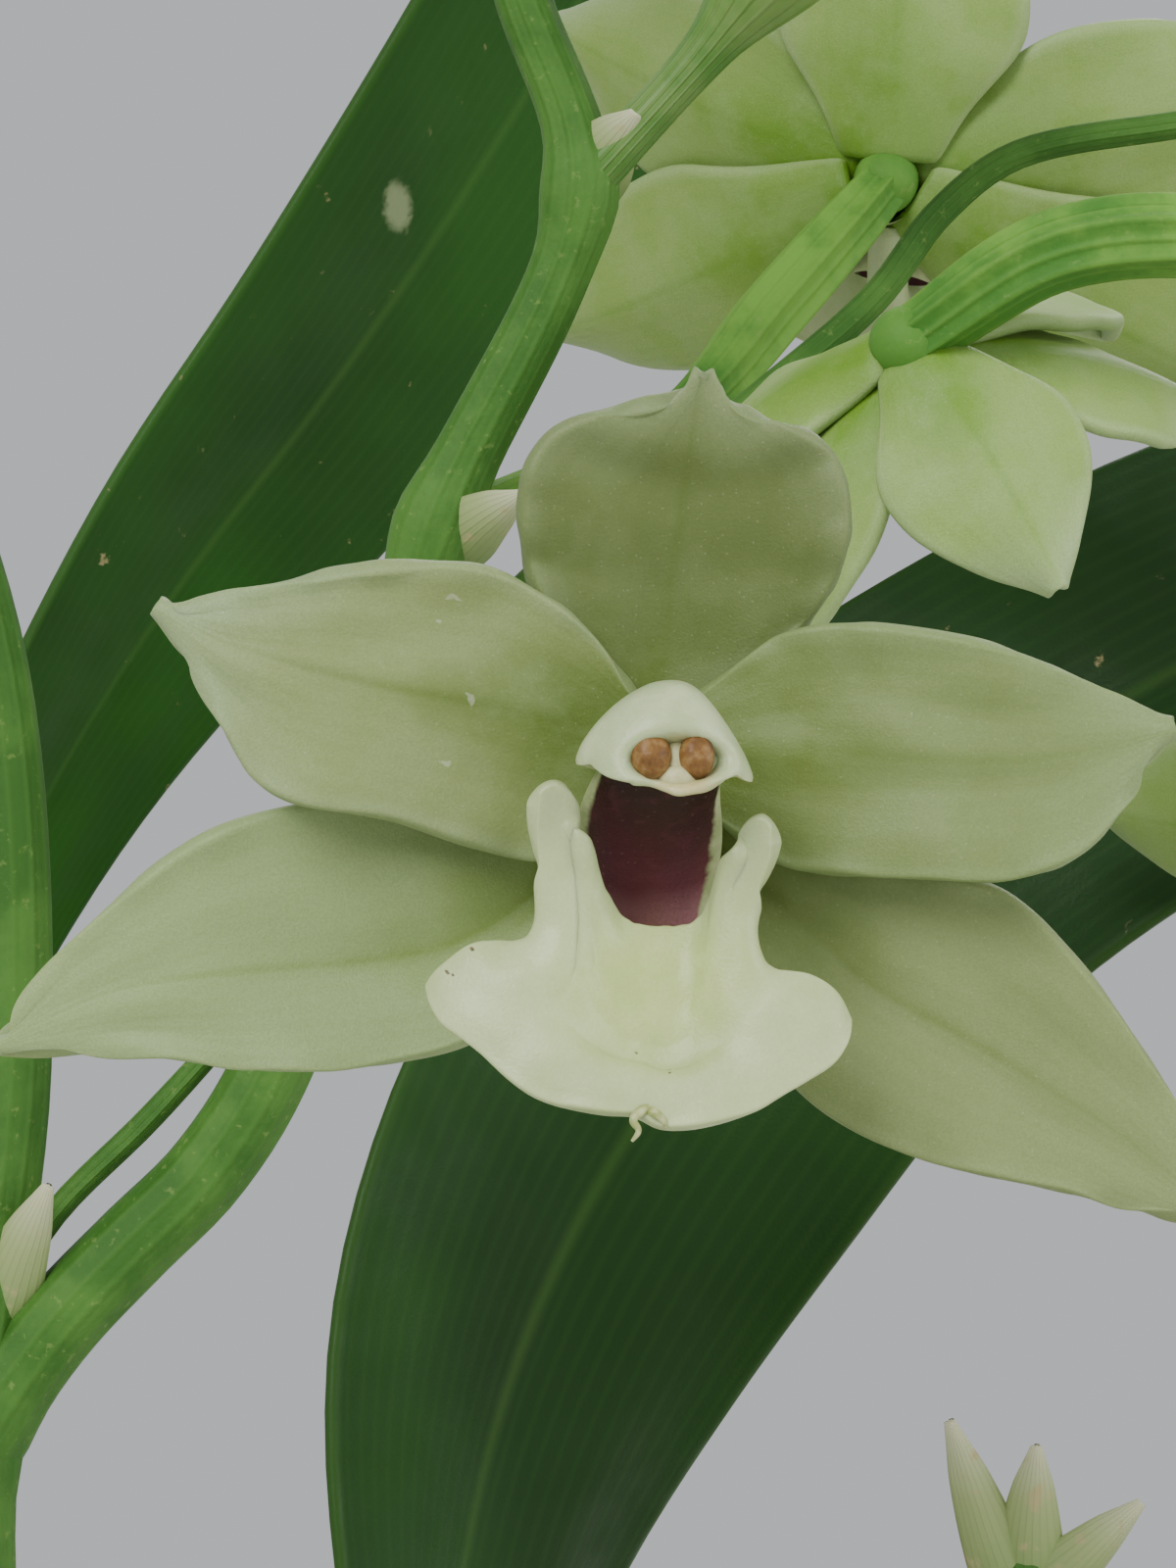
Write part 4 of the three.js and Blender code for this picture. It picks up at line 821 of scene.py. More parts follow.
# Flower stalks: each flower hangs on a thin stalk that thickens into a ridged ovary.
# The ridges run straight to the flower's back, and the skin is a brighter green than the stem's.
HUB_RADIUS = 1.9
FLOWERS = [
    {
        "name": "behind", "at": (24.8, 2, 351.4), "facing": (0.2, 0.85, 0.4), "up": (0.05, -0.3, 1),
        "open": 80, "size": 1.1, "inner": 1, "foot": (9.2, -16, 338), "way": (0.62, 0.6, 0.75),
    },
    {
        "name": "hanging", "at": (23.9, -21.5, 343.3), "facing": (0.25, 0.6, -0.7), "up": (0.5, -0.3, -0.85),
        "open": 68, "size": 0.8, "inner": 0.34, "foot": (44.5, -8, 341), "way": (-1, -0.1, -0.04),
        "back": (23, -23.6, 345.8),
    },
    {
        "name": "right", "at": (46, 2, 328), "facing": (0.3, 0.88, 0.35), "up": (0.44, -0.3, 0.9),
        "open": 82, "foot": (39, -4, 309),
    },
    {
        "name": "left", "at": (-25, -27, 355), "facing": (-0.55, -0.82, 0.1), "up": (0, 0, 1), "open": 84,
        "foot": (-12, -15.4, 350),
    },
    {
        "name": "top", "at": (-5, -29, 393), "facing": (0.25, -0.95, 0.1), "up": (0, 0, 1), "open": 82,
        "foot": (-9, -15, 370),
    },
]
OVARY_LENGTH = 11
near_middle = NEAR_FLOWER + Vector((0.2, 0.8, 0))
stalks = [((7.3, -16, 331), near_middle + Vector((0.1, HUB_RADIUS + 0.35, 0)), near_middle, (0.3, -1, 0.1))]
for flower in FLOWERS:
    middle, way = Vector(flower["at"]), flower.get("way", flower["facing"])
    back = flower.get("back", middle - Vector(way).normalized() * (HUB_RADIUS + 0.35))
    stalks.append((flower["foot"], Vector(back), middle, way))


def ovary_radius(share, angle):
    ripe = min(max((share - 0.36) / 0.3, 0), 1)
    ridge = 1 + ripe * (0.1 * math.cos(6 * angle) + 0.05 * math.cos(12 * angle))
    return along([(0, 0.6), (0.4, 0.7), (0.68, 1.12), (0.88, 1.08), (1, 0.9)], share) * ridge


bm = bmesh.new()
for foot, back, middle, way in stalks:
    inward = Vector(way).normalized()
    points = [foot, back - inward * OVARY_LENGTH, back - inward * OVARY_LENGTH / 2, middle]
    tube(bm, points, ovary_radius, 64, 48)
ovary_skin = stem_finish("ovary_skin", tone(68, 120, 42), tone(108, 156, 60))
ovaries = finished("flower_stalks", bm, ovary_skin)
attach(ovaries, "root")
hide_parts("flower_stem")

# Buds: unopened flowers on short stalks, three sepals closed over each with a seam between them.
# They are pale green, darker at the foot, and come to a blunt point.
BUDS = [
    ((13.8, -16, 348.7), (26, -20, 365), 3.1), ((10, -15.5, 364), (12.5, -17, 381), 2.6),
    ((43, -8, 366), (45.5, -9, 381), 2.3), ((40, -8, 352.8), (52, -9, 359), 2.1),
    ((-14, -15, 390), (-27, -19, 404), 3.2), ((-10, -15, 408), (1, -19, 421), 2.8),
    ((-10, -15, 408), (-12, -15, 430), 2.2),
]
bud_skin, tree, shader = new_finish("bud_skin", 0.45, 0.5)
place = in_mm(tree)
map_place = map_of(tree)
grown = part_of(tree, map_place, "Y")
skin = ramp(tree, grown, (0.3, tone(78, 124, 46)), (0.45, tone(112, 148, 68)), (0.85, tone(160, 180, 116)))
lined = veins(tree, map_place, 18.0, 0.02, 0.25)
skin = mixed(tree, times(tree, lined, 0.35), skin, tone(110, 138, 66))
painted(tree, shader, mixed(tree, times(tree, patches(tree, place, 2.4), 0.25), skin, tone(148, 166, 100)))
fleshy(shader, 0.2)
raised(tree, shader, lined, 0.08, 0.6)
bm = bmesh.new()
for foot, tip, fat in BUDS:
    middle = Vector(foot).lerp(Vector(tip), 0.4) + Vector((0, 0, -1.2))
    radii = [
        (0, 0.8), (0.3, 0.85), (0.45, fat * 0.62), (0.62, fat), (0.8, fat * 0.82), (0.95, fat * 0.3),
        (1, 0.2),
    ]

    def bud_radius(share, angle):
        seam = math.sqrt(abs(math.cos(1.5 * angle)) + 0.004) - 0.8
        closed = min(max((share - 0.4) / 0.15, 0), 1)
        return along(radii, share) * (1 + 0.09 * seam * closed)

    tube(bm, [foot, middle, tip], bud_radius, 44, 42)
buds = finished("flower_buds", bm, bud_skin)
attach(buds, "root")
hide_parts("flower_stem")

# Bracts: small pointed leaves, one under each joint of the stem, folded round it at their foot.
# They are thin and papery, pale green with whitish tips.
BRACT_WIDTHS = ((0, 1), (0.3, 1), (0.7, 0.6), (0.92, 0.2), (1, 0.05))
BRACTS = [
    ((0.6, -22, 160), (-3, -28, 182), 2.6), ((-2.5, -19.6, 232), (4, -20.5, 247), 2),
    ((-5, -16.8, 312), (-2.9, -18.3, 317.1), 1), ((9.4, -16.2, 337), (12, -18, 338.9), 1),
    ((13.8, -16, 348.7), (15.6, -17.4, 351), 1.1), ((28.7, -6.2, 301), (26.4, -6.8, 308.1), 1),
    ((29.1, -6.2, 302), (29.3, -7.2, 307.3), 1), ((29, -6.2, 301.4), (32.9, -6.6, 305.3), 1),
    ((39, -4, 309), (41, -8, 316), 1.6), ((-12, -15.4, 350), (-17.5, -17, 354), 1.5),
]
bract_skin, tree, shader = new_finish("bract_skin", 0.6, 0.4)
place = in_mm(tree)
map_place = map_of(tree)
grown = part_of(tree, map_place, "Y")
skin = ramp(tree, grown, (0.0, tone(112, 138, 72)), (0.5, tone(150, 164, 108)), (0.95, tone(200, 200, 164)))
lined = veins(tree, map_place, 9.0, 0.03, 0.25)
skin = mixed(tree, times(tree, lined, 0.12), skin, tone(110, 124, 62))
painted(tree, shader, mixed(tree, patches(tree, place, 1.0, 0.55, 0.7), skin, tone(170, 160, 112)))
raised(tree, shader, lined, 0.03, 0.5)
bm = bmesh.new()
for foot, tip, broad in BRACTS:
    foot, tip = Vector(foot), Vector(tip)
    middle = foot.lerp(tip, 0.5) + (tip - foot).cross(Vector((0, 0, 1))) * 0.06
    widths = [(t, part * broad, part * broad) for t, part in BRACT_WIDTHS]
    face = [(0, 0.2, 1, 0.5), (1, 0.2, 1, 0.5)]
    blade(bm, [foot, middle, tip], face, widths, lambda t, s, width: 0.6 * width * s * s, 22, 14)
bracts = finished("stem_bracts", bm, bract_skin)
thickened(bracts, 0.4)
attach(bracts, "root")
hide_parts("flower_stem")

# Near flower's tepals: three sepals behind and two petals in front of them, all from one small base.
# They are fleshy and pale green with a yellower foot, and their skin glitters with tiny cells, painted in as
# pale glints.
TEPAL_THICKNESS = 0.6
# Painted light and shade in each tepal's colours (foot, middle, tip): the left petal and left sepal are
# lighter than the right ones, and the dorsal sepal's middle is darker below its paler tip.
TEPALS = {
    "dorsal_sepal": {
        "middle": [
            (675, 757, 0.5), (677, 694, 0.5), (682, 620, 0.2), (690, 555, -0.3), (700, 490, -0.7),
            (709, 432, -1.1), (718, 380, -1.5),
        ],
        "left": [
            (622, 757), (590, 690), (560, 640), (536, 580), (529, 525), (536, 475), (560, 440), (600, 421),
            (650, 413), (688, 403), (706, 391), (718, 380),
        ],
        "right": [
            (733, 757), (778, 700), (824, 640), (857, 588), (869, 540), (866, 495), (850, 458), (818, 436),
            (780, 426), (750, 411), (731, 395), (718, 380),
        ],
        "cup": 0.9, "keel": 0.25, "wave": 0.1,
        "fold": 0.68,
        "colours": (tone(84, 104, 26), tone(98, 114, 58), tone(124, 140, 92)),
    },
    "left_petal": {
        "middle": [
            (650, 757, 0.1), (575, 738, -0.6), (500, 718, -1.1), (400, 700, -1.7), (300, 678, -1.9),
            (230, 658, -1.8), (190, 638, -1.6), (160, 618, -1.3),
        ],
        "left": [
            (640, 812), (600, 856), (560, 879), (520, 876), (460, 858), (400, 838), (350, 830), (302, 822),
            (272, 808), (250, 786), (232, 755), (217, 722), (203, 694), (188, 664), (175, 640), (160, 618),
        ],
        "right": [
            (655, 716), (612, 655), (580, 622), (545, 600), (520, 586), (490, 576), (450, 572), (400, 574),
            (350, 580), (300, 590), (250, 602), (210, 615), (182, 625), (160, 618),
        ],
        "cup": 0.35, "keel": -0.22, "wave": 0.26,
        "colours": (tone(84, 106, 24), tone(134, 150, 90), tone(146, 164, 116)),
    },
    "right_petal": {
        "middle": [
            (700, 765, 0.1), (780, 762, -0.6), (860, 766, -1.1), (950, 772, -1.7), (1040, 774, -1.9),
            (1110, 765, -1.75), (1160, 753, -1.5), (1198, 742, -1.2),
        ],
        "left": [
            (690, 722), (735, 690), (765, 667), (800, 646), (830, 637), (862, 635), (900, 636), (940, 641),
            (990, 650), (1040, 665), (1090, 685), (1130, 706), (1162, 727), (1182, 738), (1198, 742),
        ],
        "right": [
            (700, 806), (745, 850), (800, 885), (850, 893), (900, 896), (960, 899), (1018, 901), (1050, 895),
            (1082, 885), (1110, 869), (1131, 848), (1149, 820), (1165, 790), (1180, 760), (1198, 742),
        ],
        "cup": 0.4, "keel": -0.22, "wave": 0.28,
        "colours": (tone(94, 114, 36), tone(120, 138, 78), tone(134, 154, 100)),
    },
    "left_sepal": {
        "middle": [
            (650, 826, 1.1), (595, 872, 1.0), (540, 915, 0.9), (500, 943, 0.7), (450, 965, 0.5),
            (380, 978, 0.3), (300, 986, 0.1), (200, 997, 0.0), (120, 1012, 0.1), (50, 1040, 0.35),
            (-2, 1067, 0.6),
        ],
        "left": [
            (655, 862), (610, 930), (570, 985), (525, 1035), (470, 1068), (400, 1085), (330, 1094),
            (250, 1092), (150, 1079), (70, 1076), (30, 1073), (-2, 1067),
        ],
        "right": [
            (640, 790), (560, 800), (470, 805), (380, 809), (290, 822), (245, 835), (200, 855), (160, 881),
            (120, 915), (85, 948), (50, 987), (20, 1027), (-2, 1067),
        ],
        "cup": 0.3, "keel": 0.5, "wave": 0.18,
        "colours": (tone(112, 136, 52), tone(146, 166, 108), tone(148, 168, 112)),
    },
    "right_sepal": {
        "middle": [
            (690, 826, 1.1), (760, 890, 0.9), (820, 945, 0.7), (900, 1010, 0.3), (985, 1056, 0.1),
            (1080, 1115, 0.0), (1150, 1162, 0.1), (1200, 1204, 0.3), (1236, 1240, 0.5),
        ],
        "left": [
            (705, 798), (760, 838), (820, 862), (880, 876), (950, 888), (1020, 905), (1058, 932), (1090, 966),
            (1118, 1000), (1142, 1032), (1170, 1075), (1200, 1122), (1222, 1180), (1236, 1240),
        ],
        "right": [
            (682, 852), (718, 950), (765, 1050), (820, 1120), (880, 1160), (960, 1190), (1020, 1204),
            (1080, 1216), (1160, 1236), (1205, 1243), (1236, 1240),
        ],
        "cup": 0.35, "keel": 0.42, "wave": 0.18,
        "colours": (tone(94, 112, 42), tone(126, 142, 86), tone(136, 152, 98)),
    },
}


def seen(px, py, depth):
    """Point in millimetres from its place in the picture and how far it lies behind the flower's middle"""
    scale = MM_PER_PIXEL * (1 + depth / CAMERA_DISTANCE)
    x = PICTURE_MIDDLE[0] + (px - 600) * scale
    return Vector((x, NEAR_FLOWER.y + depth, PICTURE_MIDDLE[1] - (py - 800) * scale))


# Plant cells: fine grain, and scattered bright points used as painted glints, on every part of a flower
plant_cells, given, result = new_group(
    "plant_cells", [("Place", "Vector"), ("Size", "Float")], [("Grain", "Float"), ("Glitter", "Float")],
)
per_mm = math_of(plant_cells, "DIVIDE", 1.0, given["Size"])
plant_cells.links.new(cloud(plant_cells, given["Place"], per_mm, 2.0, 0.6), result["Grain"])
cell_scale = times(plant_cells, per_mm, 0.6)
cells = add(plant_cells, "TexVoronoi", {"Vector": given["Place"], "Scale": cell_scale})
bright = fitted(plant_cells, cells.outputs["Distance"], 0.32, 0.1)
chosen = fitted(plant_cells, part_of(plant_cells, cells.outputs["Color"], "X"), 0.8, 0.95)
plant_cells.links.new(times(plant_cells, bright, chosen), result["Glitter"])


def cells_of(tree, place, size):
    made = add(tree, "Group", {"Place": place, "Size": size}, node_tree=plant_cells).outputs
    return made["Grain"], made["Glitter"]


def tepal_finish(name, foot, middle, tip, scars=()):
    """Tepal skin: yellow foot, paler rim, faint long veins, and cells that glitter with painted glints"""
    finish, tree, shader = new_finish(name, 0.55, 0.35)
    place = in_mm(tree)
    map_place = map_of(tree)
    split = add(tree, "SeparateXYZ", {0: map_place}).outputs
    off_middle = math_of(tree, "ABSOLUTE", math_of(tree, "SUBTRACT", split["X"], 0.5))
    drift = times(tree, cloud(tree, place, 0.35, 3.0), 0.22)
    grown = math_of(tree, "ADD", math_of(tree, "SUBTRACT", split["Y"], 0.11), drift)
    flushed = math_of(tree, "ADD", grown, times(tree, off_middle, 0.5))
    skin = ramp(tree, flushed, (0.16, foot), (0.44, middle), (0.72, middle), (1.0, tip))
    skin = mixed(tree, fitted(tree, off_middle, 0.4, 0.5, 0.0, 0.55), skin, tip)
    lined = veins(tree, map_place, 13.0, 0.05, 0.4)
    skin = mixed(tree, times(tree, lined, 0.05), skin, foot)
    toward_tip = fitted(tree, split["Y"], 0.95, 0.5, 0.1, 0.4)
    midrib = times(tree, fitted(tree, off_middle, 0.035, 0.0), toward_tip)
    skin = mixed(tree, midrib, skin, foot)
    skin = mixed(tree, times(tree, patches(tree, place, 2.6), 0.25), skin, tip)
    grain, glitter = cells_of(tree, place, 0.07)
    darker = mixed(tree, 0.35, skin, tone(70, 80, 40))
    grained = mixed(tree, fitted(tree, grain, 0.35, 0.65, 0.0, 0.4), skin, darker)
    # Painted glints: pale points on single cells, standing for light that catches them
    pale = mixed(tree, times(tree, glitter, 0.2), grained, tone(200, 208, 168))
    if scars:
        pale = mixed(tree, times(tree, marks_at(tree, place, scars), 0.32), pale, tone(206, 210, 186))
    painted(tree, shader, pale)
    tree.links.new(fitted(tree, glitter, 0.0, 1.0, 0.52, 0.25), shader.inputs["Roughness"])
    fleshy(shader, 0.25)
    shader.inputs["Subsurface Radius"].default_value = (1.0, 0.9, 0.5)
    under = raised(tree, shader, lined, 0.012, 0.3)
    raised(tree, shader, grain, 0.03, 0.6, under)
    return finish


SCARS = {
    "left_petal": [
        (seen(462, 612, -0.9), (0.26, 2, 0.1)), (seen(448, 634, -0.9), (0.14, 2, 0.09)),
        (seen(480, 715, -0.9), (0.1, 2, 0.14)), (seen(455, 780, -0.9), (0.22, 2, 0.08)),
    ],
}
for name, tepal in TEPALS.items():
    middle_way = course(tepal["middle"])
    left_way, right_way = (course([(*point, 0) for point in tepal[side]]) for side in ("left", "right"))
    bm = bmesh.new()
    for vert in mapped_grid(bm, 40, 62):
        t, s = 1 - (1 - (vert.co.y + 1) / 2) ** 1.25, vert.co.x
        left, middle, right = left_way(t), middle_way(t), right_way(t)
        depth = middle.z
        middle = Vector((middle.x, middle.y, 0))
        here = left * s * (s - 1) / 2 + middle * (1 - s * s) + right * s * (s + 1) / 2
        width = ((left if s < 0 else right) - middle).length * MM_PER_PIXEL
        groove = tepal["keel"] * math.exp(-((s / 0.3) ** 2)) * math.sin(math.pi * min(1.3 * t + 0.1, 1))
        ripple = tepal["wave"] * s * s * math.sin(9 * t + math.copysign(3, s))
        ripple += 0.35 * s**4 * noise.noise(Vector((11 * t, 2 * s, len(name))))
        swell = 0.22 * noise.noise(Vector((2.2 * s, 5 * t, len(name)))) * math.sin(math.pi * t)
        if "fold" in tepal:
            past = min(max((t - tepal["fold"] + 0.05 * s * s) / 0.14, 0), 1)
            swell += 0.26 * past * past * (3 - 2 * past)
        vert.co = seen(here.x, here.y, depth - tepal["cup"] * s * s * width / 4 + groove - ripple - swell)
    # The colours hold each tepal's own tones together with its painted light and shade
    skin = tepal_finish(f"{name}_skin", *tepal["colours"], scars=SCARS.get(name, ()))
    piece = finished(f"near_{name}", bm, skin)
    thickened(piece, TEPAL_THICKNESS)
    softened(piece)
    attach(piece, "root")
    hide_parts("near_flower_tepals")

# Flower base: the small green knob at the end of the ovary that the tepals and column grow from.
# It is hidden in front and seen only from the side and behind.
base_skin = stem_finish("base_skin", tone(112, 140, 66), tone(146, 164, 92))
bm = bmesh.new()
bmesh.ops.create_uvsphere(bm, u_segments=32, v_segments=20, radius=HUB_RADIUS)
bmesh.ops.translate(bm, vec=near_middle, verts=bm.verts)
near_base = finished("near_flower_base", bm, base_skin)
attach(near_base, "root")
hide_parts("near_flower_tepals")

# Column: the fused middle of the flower, a curved bar with a hollow dark maroon face.
# A thin pale green wing stands along each side of the face, and its back is pale green.
COLUMN_SPINE = [(-0.25, -1, -4), (-0.35, -2, -2.6), (-0.25, -3.6, -1), (0.05, -4.9, 0.3)]
COLUMN_RADII = [(0, 1.3), (0.3, 1.62), (0.6, 1.7), (1, 1.6)]


def column_radius(share, angle):
    face = max(-math.sin(angle), 0)
    hollow = 0.2 * face**3 * math.sin(math.pi * min(share + 0.15, 1))
    beside = math.exp(-(((abs(math.cos(angle)) - 1) / 0.035) ** 2))
    wing = 0.3 * beside * math.sin(math.pi * min(share + 0.1, 1))
    return along(COLUMN_RADII, share) * (1 - hollow) + wing


bm = bmesh.new()
tube(bm, [NEAR_FLOWER + Vector(p) for p in COLUMN_SPINE], column_radius, 40, 64, 0.56, Vector((1, 0, 0)))
tube(
    bm, [NEAR_FLOWER + Vector(p) for p in ((0, -2.4, -2), (0, -1.5, -1.2), (0.1, -0.3, -0.4))],
    lambda share, angle: 0.9 + 0.4 * share, 12, 32, 1.0, Vector((1, 0, 0)),
)
column_skin, tree, shader = new_finish("column_skin", 0.5, 0.25)
place = in_mm(tree)
map_place = map_of(tree)
split = add(tree, "SeparateXYZ", {0: map_place}).outputs
from_face = math_of(tree, "ABSOLUTE", math_of(tree, "SUBTRACT", split["X"], 0.25))
ragged = times(tree, cloud(tree, place, 2.2, 3.0), 0.03)
on_face = fitted(tree, math_of(tree, "ADD", from_face, ragged), 0.228, 0.205)
along_column = math_of(tree, "ADD", split["Y"], times(tree, cloud(tree, place, 1.0, 3.0), 0.1))
maroon = ramp(
    tree, along_column,
    (0.12, tone(134, 88, 94)), (0.36, tone(88, 36, 46)), (0.8, tone(52, 15, 20)), (0.98, tone(42, 15, 12)),
)
maroon = mixed(tree, times(tree, patches(tree, place, 0.5, 0.5, 0.66), 0.2), maroon, tone(104, 46, 58))
pale = mixed(tree, patches(tree, place, 1.4), tone(150, 162, 110), tone(176, 184, 136))
grain, glitter = cells_of(tree, place, 0.1)
skin = mixed(tree, on_face, pale, maroon)
# Painted glints: pale pink points on single cells, standing for light that catches them
skin = mixed(tree, times(tree, glitter, 0.12), skin, tone(190, 150, 150))
painted(tree, shader, skin)
raised(tree, shader, grain, 0.05, 0.7)
column = finished("near_column", bm, column_skin)
softened(column)
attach(column, "root")
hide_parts("near_flower_column")

# Anther cap: a white waxy helmet over the column's end, drawn out to a small point on each side.
# Its front is dented where the pollinia sit, with an orange tinge there, and its middle hangs lowest.
CAP_TOP = [
    (592, 778), (598, 762), (613, 741), (632, 722), (651, 709), (669, 701), (689, 699), (701, 702),
    (713, 711), (726, 726), (739, 745), (750, 763), (758, 779), (764, 796),
]
CAP_FRONT = [
    (592, 778), (599, 780), (607, 779), (613, 786), (621, 793), (642, 799), (662, 800), (680, 806),
    (692, 810), (706, 808), (722, 805), (738, 797), (747, 790), (752, 792), (758, 796), (764, 796),
]
CAP_BACK = [(592, 778), (620, 790), (650, 796), (692, 800), (730, 796), (750, 792), (764, 796)]
CAP_DEPTHS = {"top": -5.4, "front": -7.1, "back": -3.8}
POLLINIA_WINDOW = {"middle": (691, 777), "half": (50, 27), "depth": 0.75}
cap_lines = ([(*point, 0) for point in line] for line in (CAP_TOP, CAP_FRONT, CAP_BACK))
cap_top, cap_front, cap_back = (course(line) for line in cap_lines)
bm = bmesh.new()
for vert in mapped_grid(bm, 60, 46):
    u, v = (vert.co.x + 1) / 2, vert.co.y
    margin, depth = (cap_front, CAP_DEPTHS["front"]) if v > 0 else (cap_back, CAP_DEPTHS["back"])
    round_over = math.sqrt(max(1 - (1 - abs(v)) ** 2, 0))
    here = cap_top(u).lerp(margin(u), abs(v) ** 1.3)
    fullness = max(math.sin(math.pi * u), 0) ** 0.45
    level = CAP_DEPTHS["top"] + (depth - CAP_DEPTHS["top"]) * round_over * fullness
    if v > 0:
        (mx, my), (hx, hy) = POLLINIA_WINDOW["middle"], POLLINIA_WINDOW["half"]
        reach = math.hypot((here.x - mx) / hx, (here.y - my) / hy)
        sunk = min(max(1.18 - reach, 0) / 0.36, 1)
        level += POLLINIA_WINDOW["depth"] * sunk * sunk * (3 - 2 * sunk)
    vert.co = seen(here.x, here.y, level)
cap_skin, tree, shader = new_finish("cap_skin", 0.36, 0.5)
place = in_mm(tree)
near_place = vector_of(tree, "SUBTRACT", place, NEAR_FLOWER)
from_mouth = vector_of(tree, "DISTANCE", near_place, (0.5, -6.7, 0.1))
white = mixed(tree, patches(tree, place, 1.2), tone(176, 192, 142), tone(190, 204, 158))
orange = mixed(tree, patches(tree, place, 0.5), tone(196, 178, 122), tone(210, 196, 146))
grain, glitter = cells_of(tree, place, 0.1)
tinged = mixed(tree, fitted(tree, from_mouth, 1.15, 0.45, 0.0, 0.8), white, orange)
# Painted glints: near-white points on single cells, standing for light that catches them
painted(tree, shader, mixed(tree, times(tree, glitter, 0.15), tinged, tone(222, 228, 200)))
fleshy(shader, 0.3)
raised(tree, shader, grain, 0.03, 0.5)
cap = finished("near_cap", bm, cap_skin)
thickened(cap, 0.3)
softened(cap)
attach(cap, "root")
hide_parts("near_flower_cap")

# Pollinia: two waxy honey-brown balls side by side in the cap's dent, with a cream strap between them.
# The one on the left is the larger, and each has a darker pit.
POLLINIA = [((664, 771), -6.62, (0.54, 0.5, 0.62)), ((711, 772), -6.55, (0.47, 0.42, 0.6))]
bm = bmesh.new()
for (px, py), depth, radii in POLLINIA:
    verts = bmesh.ops.create_uvsphere(bm, u_segments=32, v_segments=20, radius=1)["verts"]
    for vert in verts:
        pit = 1 - 0.14 * math.exp(-((vert.co - Vector((0.2, -0.85, 0.45))).length / 0.35) ** 2)
        vert.co *= pit
    bmesh.ops.scale(bm, vec=radii, verts=verts)
    bmesh.ops.translate(bm, vec=seen(px, py, depth), verts=verts)
for strap in (
    [seen(689, 748, -6.05), seen(690, 770, -6.25), seen(691, 797, -6.55)],
    [seen(670, 795, -6.25), seen(691, 794, -6.55), seen(711, 795, -6.25)],
):
    tube(bm, strap, lambda share, angle: 0.16 + 0.2 * math.sin(math.pi * share), 16, 20)
pollen_wax, tree, shader = new_finish("pollen_wax", 0.48, 0.35)
place = in_mm(tree)
wax = ramp(tree, cloud(tree, place, 1.6, 4.0, 0.6), (0.34, tone(84, 54, 20)), (0.5, tone(120, 84, 38)),
           (0.66, tone(152, 122, 76)))
on_strap = fitted(tree, part_of(tree, map_of(tree), "Y"), 0.0, 0.04)
cream = mixed(tree, patches(tree, place, 0.6), tone(186, 184, 136), tone(200, 198, 152))
painted(tree, shader, mixed(tree, on_strap, wax, cream))
fleshy(shader, 0.05, 0.4)
raised(tree, shader, cloud(tree, place, 7.0, 3.0), 0.04, 0.6)
pollinia = finished("near_pollinia", bm, pollen_wax)
softened(pollinia)
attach(pollinia, "root")
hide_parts("near_flower_pollinarium")

# Lip: the flower's cream third petal, with a horn and a tooth standing up on each side of the column.
# Two low keels run down from the teeth to a yellowish cushion, and the broad end turns down all round.
LIP_TOP = [
    (543, 822, -4.8), (549, 804, -4.9), (566, 796, -4.9), (581, 804, -4.85), (584, 828, -4.6),
    (583, 843, -4.4), (591, 846, -4.35), (598, 862, -4.2), (604, 888, -4.0), (615, 915, -3.8),
    (631, 937, -3.65), (655, 946, -3.6), (680, 947, -3.6), (704, 945, -3.6), (722, 934, -3.65),
    (734, 910, -3.8), (740, 886, -4.0), (745, 872, -4.2), (750, 868, -4.35), (758, 850, -4.6),
    (766, 834, -4.8), (777, 830, -4.9), (789, 840, -4.85), (793, 861, -4.7),
]
LIP_LEFT = [
    (543, 822, -4.8), (543, 846, -4.75), (546, 870, -4.65), (551, 895, -4.5), (555, 920, -4.4),
    (554, 944, -4.3), (543, 962, -4.3), (525, 967, -4.3), (504, 965, -4.35), (483, 966, -4.4),
    (463, 978, -4.4), (448, 990, -4.4), (437, 1006, -4.35),
]
LIP_RIGHT = [
    (793, 861, -4.7), (790, 877, -4.65), (783, 895, -4.55), (773, 916, -4.4), (765, 936, -4.3),
    (762, 953, -4.3), (765, 971, -4.3), (774, 987, -4.3), (789, 995, -4.35), (806, 996, -4.4),
    (824, 998, -4.4), (847, 1011, -4.4), (864, 1041, -4.35),
]
LIP_FOOT = [
    (437, 1006, -4.35), (441, 1026, -4.6), (452, 1046, -4.85), (472, 1061, -5.1), (491, 1076, -5.3),
    (513, 1098, -5.5), (538, 1117, -5.65), (563, 1128, -5.75), (592, 1134, -5.85), (622, 1138, -5.9),
    (648, 1140, -5.9), (672, 1152, -5.85), (697, 1153, -5.8), (725, 1149, -5.75), (752, 1142, -5.65),
    (776, 1133, -5.5), (800, 1118, -5.3), (826, 1103, -5.1), (850, 1087, -4.9), (862, 1066, -4.65),
    (864, 1041, -4.35),
]
KEELS = [
    [(590, 848), (600, 885), (611, 930), (628, 980), (652, 1030)],
    [(750, 870), (743, 900), (736, 940), (722, 985), (697, 1030)],
]


def off_line(px, py, line):
    """Distance from a point to a line of points, and how far along the line that is, 0 to 1"""
    best = (1e9, 0)
    for k, (start, end) in enumerate(zip(line, line[1:])):
        (ax, ay), (bx, by) = start, end
        share = ((px - ax) * (bx - ax) + (py - ay) * (by - ay)) / ((bx - ax) ** 2 + (by - ay) ** 2)
        share = min(max(share, 0), 1)
        off = math.hypot(px - ax - share * (bx - ax), py - ay - share * (by - ay))
        best = min(best, (off, (k + share) / (len(line) - 1)))
    return best


